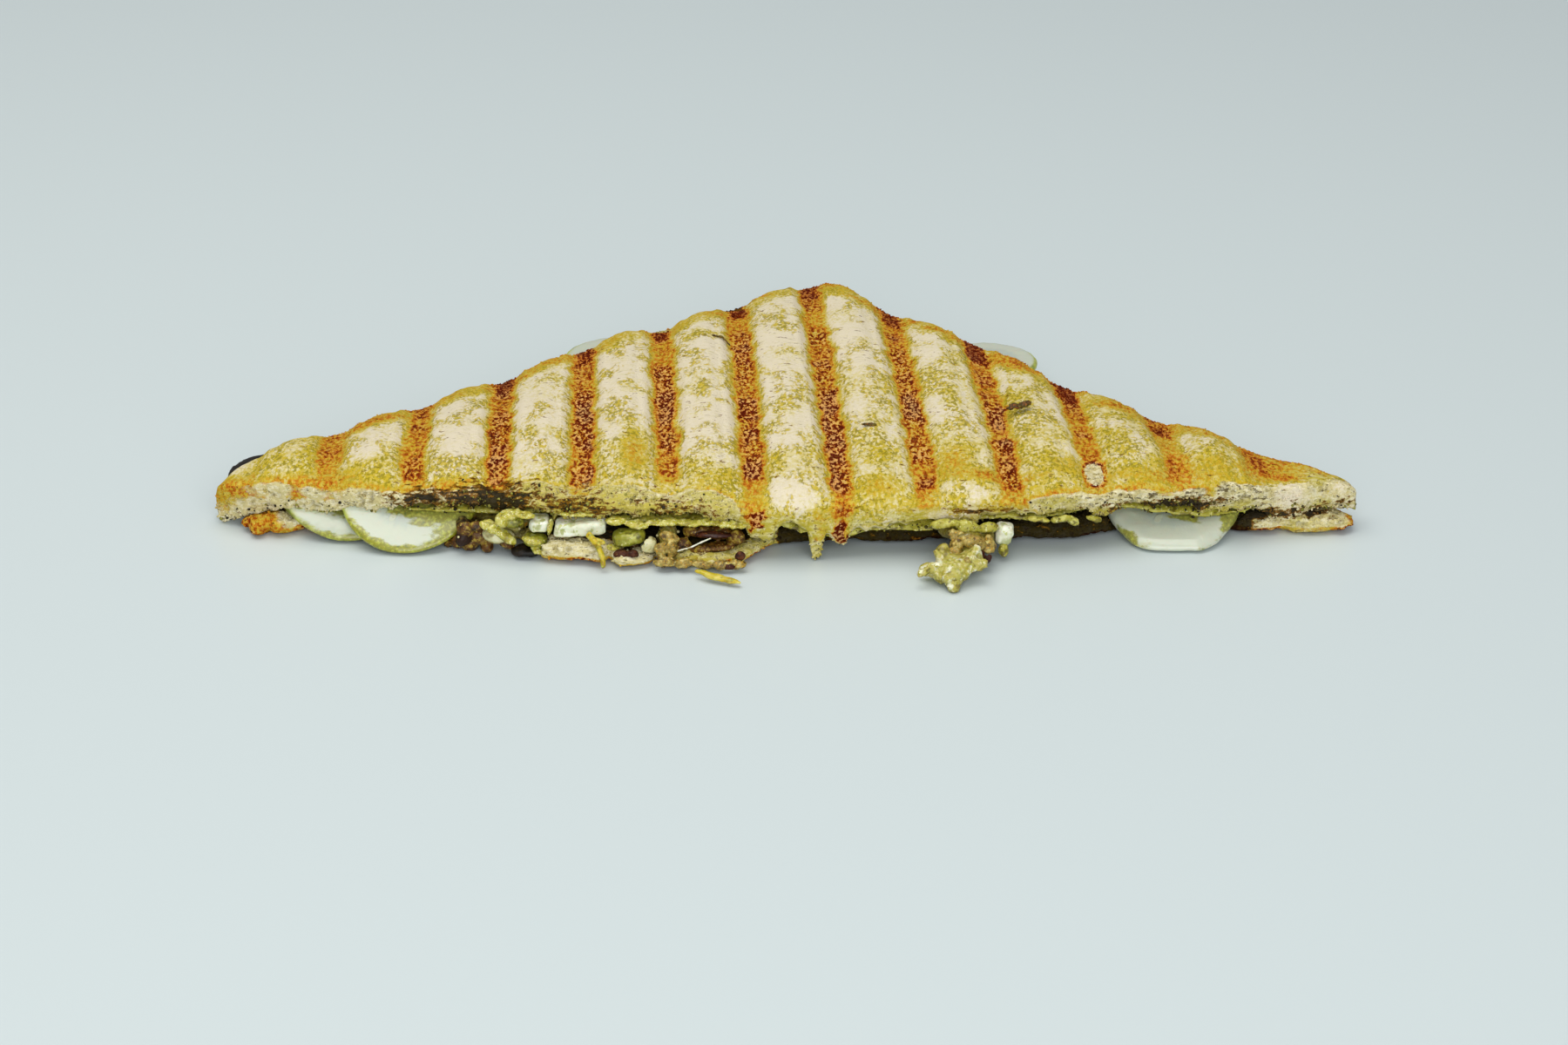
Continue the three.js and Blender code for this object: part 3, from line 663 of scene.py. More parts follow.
@dataclass(frozen=True)
class BreadFinish:
    """Grilled white bread, coloured by how far each of its grains is browned, with a soaked crumb.

    Attributes:
        browning: Levels of browning with their colours, from white to scorched.
        grain_size: Width of a single grain.
        patch_size: Width of the patches of mottling on the pillows.
        clump_size: Width of the clumps that a groove scorched.
    """

    browning: tuple[tuple[float, str], ...] = (
        (0.02, "#ebdec2"),
        (0.15, "#e3d49a"),
        (0.27, "#d2bb50"),
        (0.40, "#cfab2c"),
        (0.52, "#cf952a"),
        (0.64, "#c6741a"),
        (0.80, "#8c3606"),
        (0.98, "#601800"),
    )
    grain_size: float = 0.48
    patch_size: float = 2.8
    clump_size: float = 3.2
    peach: str = "#efbe76"
    mottle: str = "#97880e"
    mottle_light: str = "#d0b52a"
    streak: str = "#d9cc84"
    shade: str = "#cda24c"
    sun: str = "#e6cb60"
    dash: str = "#8e7524"
    crumb: str = "#d9cb92"
    crumb_light: str = "#ede3bc"
    pore: str = "#46320a"
    lime: str = "#c0b040"
    pale_lime: str = "#ddd28a"
    # Dark of soaked stains, and of painted shade where the bottom slice lies under the top slice and in the gap.
    stain: str = "#160500"
    soaked: str = "#80540a"

    def make(self) -> bpy.types.Material:
        """Builds the material."""
        paint = Paint("toasted bread")
        grain = paint.cloud(self.grain_size, (1.1, 1.8, 1))
        speckle = paint.cloud(1.1, (1.4, 1, 1), 13, 4, 0.65)
        folds = paint.cloud(0.6, (2.6, 1, 1), 15, 3, 0.6)
        green = paint.layered(
            self.lime,
            (self.pale_lime, (folds + 0.5 * (speckle - 0.5)).step(0.44, 0.62)),
            (self.crumb_light, 0.5 * speckle.step(0.56, 0.66)),
            # Dark pores in the green crumb: painted shade inside them.
            (self.pore, 0.75 * (grain + 0.4 * (folds - 0.5)).step(0.58, 0.68)),
        )
        # The field read here holds soaked stains, and on the bottom slice painted shade.
        wet = paint.painted("stain") + 1.1 * (speckle - 0.5)
        brown = paint.mix(self.soaked, self.stain, (wet + 2.2 * (folds - 0.5)).step(0.48, 0.76))
        colour = paint.layered(
            self.face_colour(paint, paint.painted("browned"), grain),
            (self.crumb_colour(paint, grain), (paint.painted("cut") + 0.9 * (speckle - 0.5)).step(0.32, 0.68)),
            (green, 0.9 * (paint.painted("moss") + 1.2 * (speckle - 0.5)).step(0.3, 0.72)),
            (brown, 0.95 * (wet + 2.0 * (folds - 0.5)).step(0.3, 0.48)),
        )
        rise = paint.cloud(0.34, seed=9, detail=3, roughness=0.7)
        streak = paint.cloud(0.35, (3, 1, 1), 2, 3)
        normal = paint.bump(streak, 0.12, paint.bump(rise, 0.3))
        return paint.finish({"Base Color": colour, "Roughness": 0.85, "Normal": normal, "Specular IOR Level": 0.08})

    def face_colour(self, paint: Paint, level: Flow, grain: Flow) -> Flow | str:
        """The colour of the grilled face.

        Args:
            paint: The material's tree.
            level: How far the face is browned, from 0 for white to 1 for scorched.
            grain: Noise of the size of the grains.

        Returns:
            The colour.
        """
        band, toasted, solid = level.step(0.56, 0.8), level.step(0.2, 0.5), paint.painted("solid")
        patch = paint.cloud(self.patch_size, (1.2, 2.0, 2.0), 5)
        clump = paint.cloud(self.clump_size, (1, 2.4, 2), 14)
        fibre = paint.cloud(0.4, (3.5, 1, 1), 2, 3, 0.6)
        dot = paint.cloud(0.4, (1.2, 2.0, 1.4), 33)
        fine = paint.cloud(0.48, (1.2, 1.9, 1.4), 31, roughness=0.6)
        dashes = paint.cloud(0.5, (3, 1, 1), 23, 1)
        uneven = 0.3 * (patch - 0.5) * (1 - band) + 1.1 * (clump - 0.5) * band * (1 - 0.6 * solid)
        single = (grain.step(0.38, 0.62) - 0.5) * (0.12 + 0.2 * toasted + (0.28 - 0.2 * solid) * band)
        pale, golden = 1 - toasted, toasted * (1 - band)
        crowded = (patch + 0.9 * level + 0.3 * (fine - 0.5)).step(0.49, 0.62)
        spots = crowded * (dot + 0.4 * (patch - 0.5)).step(0.46, 0.54)
        glint = band * (1 - 0.8 * solid) * (grain + 0.35 * (0.5 - clump)).step(0.5, 0.4)
        return paint.layered(
            paint.ladder(level + uneven + single + 0.15 * (fibre - 0.5), self.browning),
            (self.streak, 0.45 * fibre.step(0.55, 0.65) * pale),
            (paint.mix(self.mottle, self.mottle_light, fine.step(0.42, 0.58)), 0.88 * spots * pale),
            # Painted shade between the grains and painted highlights on them in the golden zones, and painted
            # highlights (peach glints) on the bands.
            (self.shade, 0.75 * fine.step(0.54, 0.64) * golden, "MULTIPLY"),
            (self.sun, 0.4 * fine.step(0.44, 0.34) * golden),
            (self.dash, 0.5 * dashes.step(0.68, 0.76) * (1 - band)),
            (self.peach, 0.66 * glint),
        )

    def crumb_colour(self, paint: Paint, grain: Flow) -> Flow:
        """The colour of the crumb, with its pores painted dark as the shade inside them.

        Args:
            paint: The material's tree.
            grain: Noise of the size of the grains.

        Returns:
            The colour.
        """
        strands = paint.cloud(0.5, (2.6, 1, 1), 17, 3, 0.6)
        holes = paint.cloud(0.46, (2.8, 1, 1), 16, 3, 0.65)
        crumb = paint.mix(self.crumb, self.crumb_light, (strands + 0.4 * (grain - 0.5)).step(0.45, 0.6))
        # Pores painted dark: painted shade inside them.
        dark = (holes + 0.2 * paint.painted("coarse")).step(0.58, 0.68)
        return paint.mix(crumb, self.pore, 0.85 * dark.most(0.6 * paint.painted("pore")))


@dataclass(frozen=True)
class GrainFinish:
    """Small loose bits, each of one shade between a dark, a middle and a light colour."""

    name: str
    dark: str
    middle: str
    light: str

    def make(self) -> bpy.types.Material:
        """Builds the material."""
        paint = Paint(self.name)
        shade = paint.painted("shade")
        colour = paint.layered(self.dark, (self.middle, shade.step(0.25, 0.5)), (self.light, shade.step(0.6, 0.9)))
        normal = paint.bump(paint.cloud(0.2), 0.04)
        return paint.finish({"Base Color": colour, "Roughness": 0.6, "Normal": normal, "Specular IOR Level": 0.3})


@dataclass(frozen=True)
class MoistFinish:
    """Wet vegetable flesh or mash with clouds, flecks and streaks of other colours.

    Attributes:
        name: The material's name.
        base: Its main colour.
        light: Colour of its pale clouds, and of the painted highlight on its raised lumps.
        deep: Colour of its dark clouds, of the painted shade in its hollows, and of what is painted "dark".
        fleck: Colour of its flecks.
        size: Width of its clouds.
        flecks: How much the flecks cover, between 0 and 1.
        stretch: How much longer the clouds are along each axis.
        roughness: Of the surface under its wet coat.
        coat: How wet it is.
        depth: Of its fine relief.
        sheer: How much light goes in under its surface.
    """

    name: str
    base: str
    light: str
    deep: str
    fleck: str
    size: float = 2.0
    flecks: float = 0.3
    stretch: Triple = (1, 1, 1)
    roughness: float = 0.4
    coat: float = 0.4
    depth: float = 0.1
    sheer: float = 0.15

    def make(self) -> bpy.types.Material:
        """Builds the material."""
        paint = Paint(self.name)
        cloud = paint.cloud(self.size, self.stretch, detail=3)
        fine = paint.cloud(0.45, seed=2, detail=3, roughness=0.6)
        speck = paint.cloud(0.35 * self.size, seed=7)
        raised = paint.painted("raised")
        low = 0.72 - 0.3 * self.flecks
        colour = paint.layered(
            self.base,
            (self.light, cloud.step(0.52, 0.68)),
            (self.deep, 0.7 * cloud.step(0.46, 0.32)),
            (self.fleck, speck.step(low, low + 0.06)),
            # Painted highlight on the raised lumps, and painted shade in the hollows between them.
            (self.light, 0.5 * raised.step(0.56, 0.72)),
            (self.deep, 0.75 * raised.step(0.44, 0.3)),
            # What is painted dark is mostly painted shade on undersides, in gaps and in hollows, and in places
            # browned mash.
            (self.deep, (paint.painted("dark") + 0.5 * (fine - 0.5)).step(0.3, 0.7)),
        )
        sockets = {
            "Base Color": colour,
            "Roughness": self.roughness,
            "Normal": paint.bump(fine, self.depth),
            "Coat Weight": self.coat,
            "Coat Roughness": 0.15,
            "Specular IOR Level": 0.25,
            "Subsurface Weight": self.sheer,
            "Subsurface Scale": paint.LIGHT_DEPTH * MM,
        }
        return paint.finish(sockets)


@dataclass(frozen=True)
class CucumberFinish:
    """A slice of cucumber: seeds in a watery middle, firm flesh and a thin green skin."""

    middle: str = "#b9c1b2"
    flesh: str = "#c6cbb6"
    under_skin: str = "#babe64"
    skin: str = "#b0b83a"
    dark_skin: str = "#66731a"
    seed: str = "#c9cbb2"
    smear: str = "#8e8a1a"
    smear_light: str = "#b2b43a"

    def make(self) -> bpy.types.Material:
        """Builds the material."""
        paint = Paint("cucumber")
        ring = paint.painted("ring")
        x, y = paint.painted("spoke_x"), paint.painted("spoke_y")
        streak = paint.noise(paint.add("ShaderNodeCombineXYZ", None, {0: 16 * x, 1: 16 * y, 2: 1.5 * ring}), 3)
        seeded = paint.add("ShaderNodeCombineXYZ", None, {0: 5.5 * x, 1: 5.5 * y, 2: 3.2 * ring})
        seeds = paint.cells(seeded, 0.7).step(0.34, 0.22) * ring.step(0.22, 0.34) * ring.step(0.66, 0.56)
        fine = paint.cloud(0.5, detail=3)
        wisp = paint.cloud(1.3, (2, 1, 1), 8, 4, 0.65)
        rind = paint.mix(self.skin, self.dark_skin, paint.cloud(2.2, seed=3).step(0.5, 0.68))
        paste = paint.mix(self.smear, self.smear_light, fine.step(0.48, 0.62))
        paste = paint.mix(paste, self.dark_skin, fine.step(0.42, 0.3))
        colour = paint.layered(
            self.middle,
            (self.flesh, (ring + 0.2 * (streak - 0.5)).step(0.5, 0.66)),
            (self.seed, 0.8 * seeds),
            (self.under_skin, (ring + 0.08 * (fine - 0.5)).step(0.86, 0.97)),
            (rind, paint.painted("skin")),
            (paste, 0.9 * (paint.painted("smear") + 1.3 * (wisp - 0.5)).step(0.34, 0.6)),
        )
        sockets = {
            "Base Color": colour,
            "Roughness": 0.32,
            "Normal": paint.bump(0.5 * streak + 0.3 * fine + 0.5 * seeds, 0.12),
            "Coat Weight": 0.5,
            "Coat Roughness": 0.1,
            "Subsurface Weight": 0.15,
            "Subsurface Scale": paint.LIGHT_DEPTH * MM,
        }
        return paint.finish(sockets)


class Finish(Enum):
    """The sandwich's finishes, each with the record's slot that it belongs to."""

    BREAD = Slot.BREAD, BreadFinish()
    CUCUMBER = Slot.CUCUMBER, CucumberFinish()
    HERB = Slot.CHUTNEY, GrainFinish("chopped herbs", "#241a04", "#5c5414", "#96923a")
    MASH_BIT = Slot.FILLING, GrainFinish("filling crumbs", "#7a6a22", "#b7a84e", "#d8cf96")
    CHUTNEY = Slot.CHUTNEY, MoistFinish(
        "chutney", "#a8a034", "#c6c062", "#4a3a0c", "#d2ce84", 1.2, 0.4, coat=0.25, sheer=0.1
    )
    MASH = Slot.FILLING, MoistFinish(
        "filling", "#a3963f", "#c3bc74", "#2a1404", "#c9922a", 1.6, 0.4, roughness=0.6, coat=0.1, depth=0.2
    )
    LIME = Slot.CHUTNEY, MoistFinish(
        "chutney smears", "#b9b03c", "#d9d486", "#85771a", "#e2dfae", 0.8, 0.4, roughness=0.3, coat=0.5, depth=0.15
    )
    # Browned mash, also used dark in the hollow at the cut, where it is partly painted shade.
    DARK_MASH = Slot.FILLING, MoistFinish(
        "browned mash", "#5e3a08", "#a48c30", "#1c0c02", "#b59c44", 0.9, 0.35, roughness=0.5, coat=0.15, depth=0.2
    )
    GOLDEN_MASH = Slot.FILLING, MoistFinish(
        "golden mash", "#96803a", "#cdbd70", "#3e2408", "#c4962c", 0.8, 0.5, roughness=0.5, coat=0.2, depth=0.2
    )
    PALE_MASH = Slot.FILLING, MoistFinish(
        "pale mash", "#b5ab4e", "#ebe8ca", "#6a5c0e", "#a29a26", 1.5, 0.5, depth=0.15
    )
    RED_BIT = Slot.FRIED_ONION, MoistFinish(
        "dark red bits", "#3a1404", "#5e300e", "#1c0602", "#8a6a30", 0.9, roughness=0.6, coat=0.05, sheer=0.0
    )
    FLAKE = Slot.CHUTNEY, MoistFinish(
        "dried herb", "#4c3a0a", "#7c6c1e", "#241404", "#93480c", 0.7, 0.5, coat=0.0, sheer=0.0
    )
    POTATO = Slot.POTATO, MoistFinish(
        "potato", "#e0e1c4", "#f1f1e0", "#9aa048", "#c2c680", 2.4, 0.35, roughness=0.35, coat=0.5
    )
    PEPPER = Slot.PEPPER, MoistFinish("green pepper", "#8c8a22", "#b2b048", "#4a460e", "#cfce84", 1.6, coat=0.6)
    ONION = Slot.ONION, MoistFinish(
        "onion", "#cbc58f", "#e4e0c4", "#76662c", "#aea548", 1.5, 0.4, (2.5, 1, 1), roughness=0.3, coat=0.6
    )
    BEET = Slot.BEET, MoistFinish(
        "dark slice", "#171007", "#2c1c0c", "#080402", "#3e2c14", 1.8, 0.2, roughness=0.55, coat=0.05, sheer=0.0
    )
    FRIED = Slot.FRIED_ONION, MoistFinish(
        "fried onion", "#34130a", "#5e2c12", "#120503", "#7a4a1c", 1.2, 0.3, (3, 1, 1), coat=0.25, sheer=0.05
    )
    SHRED = Slot.SHRED, MoistFinish("yellow shred", "#c4ae20", "#dacf6c", "#7c6410", "#9aa22a", 1.4, 0.4, (2, 1, 1))
    PALE_SHRED = Slot.SHRED, MoistFinish(
        "pale shred", "#e2dcc4", "#f0ecdc", "#b9a878", "#d8cfa6", 1.2, 0.2, (2, 1, 1), coat=0.3
    )

    def __init__(self, slot: Slot, recipe: BreadFinish | CucumberFinish | GrainFinish | MoistFinish) -> None:
        """Keeps the slot and the recipe."""
        self.slot = slot
        self.recipe = recipe

    @cached_property
    def material(self) -> bpy.types.Material:
        """The material, made at its first use."""
        return self.recipe.make()


# The bread

@dataclass(frozen=True)
class GrillMarks:
    """The parallel grooves of the press, nearly square to the cut.

    Attributes:
        pitch: From one groove to the next.
        start: X of one groove's middle where Y is 0.
        lean: How far a groove leans towards -X for each millimetre of Y.
    """

    pitch: float = 12.55
    start: float = 6.5
    lean: float = 0.05

    def distance(self, x: np.ndarray, y: np.ndarray) -> np.ndarray:
        """Distance of each point from the nearest groove's middle."""
        along = x + self.lean * y - self.start
        return np.abs(along - self.pitch * np.round(along / self.pitch))


class Outline:
    """Plan lines of a slice of bread, at each millimetre of X.

    Attributes:
        places: The X of each place.
        fronts: The cut's Y there.
        backs: The farthest Y there.
        lows: Z of the cut's lower edge there.
        STEP: From one place to the next.
        SIDE_SHARE: What a distance along Y comes to square to the slanted crust sides.
        CUT_DEPTH: How far behind the cut's front a point still counts for its lower edge.
        FAR: Farther than any point.
    """

    STEP = 1.0
    SIDE_SHARE = 0.74
    CUT_DEPTH = 1.5
    FAR = 1e3

    def __init__(self, points: np.ndarray) -> None:
        """Reads the lines off the slice.

        Args:
            points: The slice's points.
        """
        x, y, z = points.T
        self.places = np.arange(x.min(), x.max(), self.STEP)
        count = len(self.places)
        bins = np.clip(((x - x.min()) / self.STEP).astype(int), 0, count - 1)
        self.fronts, self.backs, self.lows = (np.full(count, far) for far in (self.FAR, -self.FAR, self.FAR))
        np.minimum.at(self.fronts, bins, y)
        np.maximum.at(self.backs, bins, y)
        near = y < self.fronts[bins] + self.CUT_DEPTH
        np.minimum.at(self.lows, bins[near], z[near])

    def behind(self, x: np.ndarray, y: np.ndarray) -> np.ndarray:
        """How far each point lies behind the cut."""
        return y - np.interp(x, self.places, self.fronts)

    def inset(self, x: np.ndarray, y: np.ndarray) -> np.ndarray:
        """How far each point lies inside the crust sides."""
        return self.SIDE_SHARE * (np.interp(x, self.places, self.backs) - y)

    def above(self, x: np.ndarray, z: np.ndarray) -> np.ndarray:
        """How far each point lies above the cut's lower edge."""
        return z - np.interp(x, self.places, self.lows)


@dataclass
class TopSlice:
    """The top slice: pale pillows between browned grooves, and a torn, porous cut.

    Attributes:
        pillow: Height of the pillows.
        flattened: Share of that height that the flat tops keep.
        tip_hang: How much lower the cut hangs at both tips.
        tip_lift: How much the right tip's upper side is raised.
        tip_reach: How much farther the right tip reaches.
        hem_lift: How much the hem right of the drips is raised.
        window_lift: How much it is raised between the drips.
        rag_length: How far the rags at the right hang down.
        rag_stand: How far frayed bits stand out.
        drips: Middle, half width and extra length of each drip.
        edge_x: Places along the cut, with the height of its upper edge in edge_z.
        torn_x: Places along the cut, with how far the tear runs onto the face in torn_reach.
        golds: Golden patches of the grilled face.
        stains: Where the crumb is soaked dark.
        mosses: Where it is soaked green.
        whites: Where the bread stayed white.
        scorches: Where the cut is scorched.
        torn_oval: The bare oval that was torn from a groove.
        toasted_end: The left tip, whose cut is toasted.
    """

    marks: GrillMarks = GrillMarks()
    skin: Skin = Skin(0.488, 1, 3)
    relief: Relief = Relief(6, 0.12, 0.95, 0.34, 1.0, 0.5, 0.14)
    pillow: float = 2.4
    flattened: float = 0.72
    tip_hang: float = 1.3
    tip_lift: float = 1.0
    tip_reach: float = 1.2
    hem_lift: float = 0.7
    window_lift: float = 0.7
    rag_length: float = 1.6
    rag_stand: float = 0.9
    drips: tuple[Triple, ...] = ((8.2, 1.6, 2.2), (4.7, 1.05, 3.2), (73.4, 2.6, 0.9))
    edge_x: tuple[float, ...] = (-84, -72, -60, -52, -45, -33, -12, -2, 8, 20, 36, 44, 50, 56, 62, 66, 72, 78, 84)
    edge_z: tuple[float, ...] = (
        5.0, 5.5, 6.3, 7.8, 8.3, 8.2, 7.6, 3.4, 3.0, 5.0, 6.3, 8.2, 8.6, 8.0, 7.2, 6.7, 6.4, 6.2, 5.6
    )
    torn_x: tuple[float, ...] = (-84, -58, -50, -44, -36, -20, -10, -6, 8, 25, 45, 60, 72, 84)
    torn_reach: tuple[float, ...] = (0.2, 0.3, 1.0, 2.2, 2.8, 3.0, 2.6, -0.8, -1.2, -0.8, 0.3, 0.2, 0.6, 2.4)
    golds: tuple[Spot, ...] = Spot.rows(
        (56, -32.5, 9, 15, 3.4, 4, 0.46), (70, -28, 8, 9, 6, 4, 0.48), (74, -28.5, 8, 4, 3, 3, 0.64),
        (-82, -31, 6.4, 8, 5, 2.6, 0.58), (-84, -30, 4.5, 5, 5, 4, 0.42), (-70, -32, 7.6, 16, 3, 4, 0.5),
        (-22, -28, 12, 3, 8, 5, 0.42), (25, -30, 12, 4, 7, 5, 0.42), (14, -37, 9, 5, 4, 4, 0.42),
        (-12, -36, 9, 5, 4, 4, 0.4), (30, -34, 10, 12, 2.5, 3, 0.5), (8.3, -41, 8, 2.2, 4, 3, 0.62),
        (-5, -41, 8, 2.4, 4, 2.4, 0.56),
    )
    stains: tuple[Spot, ...] = Spot.rows(
        (-53, -37, 7.4, 5, 4, 2.0, 0.8), (-43, -38, 8.0, 8, 4, 3.2, 1.0), (-31, -40, 8.0, 8, 4, 2.0, 0.66),
        (-16, -41, 7.9, 9, 4, 1.6, 0.5), (29, -40, 7.5, 6, 3, 0.5, 0.75), (58, -36, 6.3, 6, 4, 1.0, 1.3),
        (49, -36, 6.2, 4, 4, 1.0, 0.55), (72, -32, 3.7, 6, 4, 0.8, 0.85), (82, -29, 4.4, 3, 4, 0.5, 0.7),
        (-9, 40, 8, 3, 1.5, 2),
    )
    mosses: tuple[Spot, ...] = Spot.rows(
        (-2, -43, 5.0, 12, 6, 3.0), (20, -42, 6.0, 14, 6, 2.0), (-16, -41, 6.4, 12, 6, 3, 0.8),
        (-26, -40, 7.4, 22, 7, 4, 0.85), (32, -40, 6.2, 12, 6, 1.8, 0.8), (46, -36, 5.5, 8, 6, 1.2, 0.8),
        (68, -34, 5.5, 3, 4, 1.6, 0.8), (-20, 29.7, 7, 3, 2, 3, 0.8), (79, -29, 8.0, 2.6, 4, 2.2, 0.95),
        (79, -31, 4.6, 3.4, 4, 1.3, 0.9),
    )
    whites: tuple[Spot, ...] = Spot.rows(
        (1, -39, 10.2, 4.6, 4.2, 2.8, 0.85), (-17, -36, 9.5, 4, 2.6, 2.4, 0.7), (26, -37, 9, 4, 2, 2, 0.7),
        (15, -42, 6.2, 2.6, 3, 0.9, 0.8), (24, -41, 6.6, 3.4, 3, 0.8, 0.8), (75, -33, 6, 4.5, 3, 2.6),
        (82, -30, 6.4, 2.6, 4, 1.6, 0.8), (52, -25, 11, 4, 5, 3, 0.75), (62, -23, 10, 3.5, 4.5, 3, 0.6),
    )
    scorches: tuple[Spot, ...] = Spot.rows((-4.2, -43, 6.5, 1.6, 5, 2.4), (8.3, -43, 4.4, 1.9, 5, 2.8))
    torn_oval: Spot = Spot((45.6, -31.3, 9), (1.6, 3.8, 4))
    toasted_end: Spot = Spot((-84.5, -30, 5.5), (4.4, 5, 4))

    def build(self) -> bpy.types.Mesh:
        """Makes the slice.

        Returns:
            Its mesh, with the fields that its crumbs are strewn by.
        """
        surface = Surface(self.skin.over("bread_top"))
        outline = Outline(surface.points)
        self.press_flat(surface, outline)
        self.fray(surface, outline)
        self.paint(surface, outline)
        return dress("top_slice", surface, self.relief, Finish.BREAD, "bread_top")

    def press_flat(self, surface: Surface, outline: Outline) -> None:
        """Gives the pillows the flat tops and short walls that a hot press leaves.

        Args:
            surface: The slice's surface.
            outline: Its plan lines.
        """
        x, y, _ = surface.points.T
        gap = self.marks.distance(x, y)
        pressed = between(x, -84, -79, 66, 73.5) * (0.75 + 0.25 * smooth(outline.behind(x, y), 0, 10))
        change = self.flattened * smooth(gap, 1.3, 3.6) - smooth(gap, 1.0, 4.4)
        surface.move(z=self.pillow * pressed * change * smooth(surface.normals[:, 2], 0.1, 0.6))

    def fray(self, surface: Surface, outline: Outline) -> None:
        """Frays the lower edge of the cut.

        Args:
            surface: The slice's surface.
            outline: Its plan lines.
        """
        x, y, z = surface.points.T
        low = smooth(outline.above(x, z), 2.4, 0.2) * smooth(outline.behind(x, y), 3.5, 0.8)
        height = low * (1.3 * clouds(x, y, (1.2, 2), 51) + 1.2 * clouds(x, y, (3.4, 3), 52) - 1.1)
        height -= self.tip_hang * low * np.maximum(smooth(x, -52, -60), smooth(x, 66, 74))
        window, hem = between(x, -1.8, -1.0, 3.2, 3.8), between(x, 10, 13, 28, 36)
        height += low * np.maximum(self.window_lift * window, self.hem_lift * hem)
        for at, half, drop in self.drips:
            height -= drop * low * np.exp(-(((x - at) / half) ** 4))
        height += self.tip_lift * smooth(x, 72, 80) * smooth(surface.normals[:, 2], -0.1, 0.6)
        rags = smooth(clouds(x, y, (2.3, 6), 54), 0.45, 0.95) * between(x, 16, 22, 44, 50)
        height -= self.rag_length * low * rags
        ragged = self.rag_stand * low * (clouds(x, z, (1.0, 0.9), 53) - 0.5)
        surface.move(self.tip_reach * smooth(x, 80, 83), ragged, height)

    def paint(self, surface: Surface, outline: Outline) -> None:
        """Paints the browning, the crumb of the cut and what has soaked into it.

        Args:
            surface: The slice's surface.
            outline: Its plan lines.
        """
        points, normals = surface.points, surface.normals
        x, y, z = points.T
        behind, inset, above = outline.behind(x, y), outline.inset(x, y), outline.above(x, z)
        up = smooth(normals[:, 2], -0.2, 0.3)
        ragged = 0.5 + 1.1 * smooth(x, -62, -50)
        torn = np.interp(x, self.torn_x, self.torn_reach) + ragged * (clouds(x, y, (2.4, 2), 12) - 0.5)
        uneven = 0.6 * ragged * (clouds(x, z, (3.1, 2), 11) - 0.5)
        over = np.minimum(z - np.interp(x, self.edge_x, self.edge_z) - uneven, behind - torn)
        facing = np.maximum(smooth(-normals[:, 1], 0.0, 0.35), smooth(behind - torn, 0.4, -0.4))
        front = smooth(over, 0.5, -0.3) * smooth(behind, 8, 6) * facing
        under = smooth(-normals[:, 2], 0.25, 0.5) * smooth(inset, 0.6, 1.6)
        whites = spotted(points, self.whites)
        oval = self.torn_oval.on(points)
        cut = highest(front, under, smooth(oval, 0.42, 0.5))
        cut = cut * (1 - self.toasted_end.on(points)) * (1 - 0.8 * whites * smooth(x, 66, 70))
        scorched = smooth(spotted(points, self.scorches) + 0.5 * (clouds(x, z, (1, 0.8), 13) - 0.5), 0.35, 0.65)
        browned = self.browning(points, outline, over, up)
        browned = browned * (1 - 0.9 * whites) - (0.06 + 0.24 * smooth(x, 60, 68)) * whites
        browned = highest(browned, 0.8 * smooth(oval, 0.16, 0.34) * up, 0.9 * scorched)
        stains = spotted(points, self.stains) * (1 - scorched)
        lower = 0.8 * smooth(above, 1.8, 0.3) * front * between(x, -58, -48, 66, 72)
        soaked = 0.66 * front * between(x, -50, -40, 40, 48)
        moss = highest(spotted(points, self.mosses), lower, soaked) * (1 - 0.9 * whites)
        surface.paint(
            browned=browned,
            cut=cut * (1 - scorched),
            torn=front * smooth(inset, 0.5, 2),
            moss=moss * (1 - 0.9 * scorched),
            stain=stains,
            coarse=0.35 * between(x, 40, 50, 68, 74) * front,
            herbs=front * np.maximum(stains, 0.4 * smooth(above, 1.2, 0.2)),
            crusty=smooth(browned, 0.6, 0.8),
            sandy=between(browned, 0.36, 0.5, 0.6, 0.7) * up,
            solid=smooth(inset, 9, 6.5) * smooth(browned, 0.5, 0.7) * up,
            rough=0.15 + 0.85 * smooth(browned, 0.25, 0.75),
        )

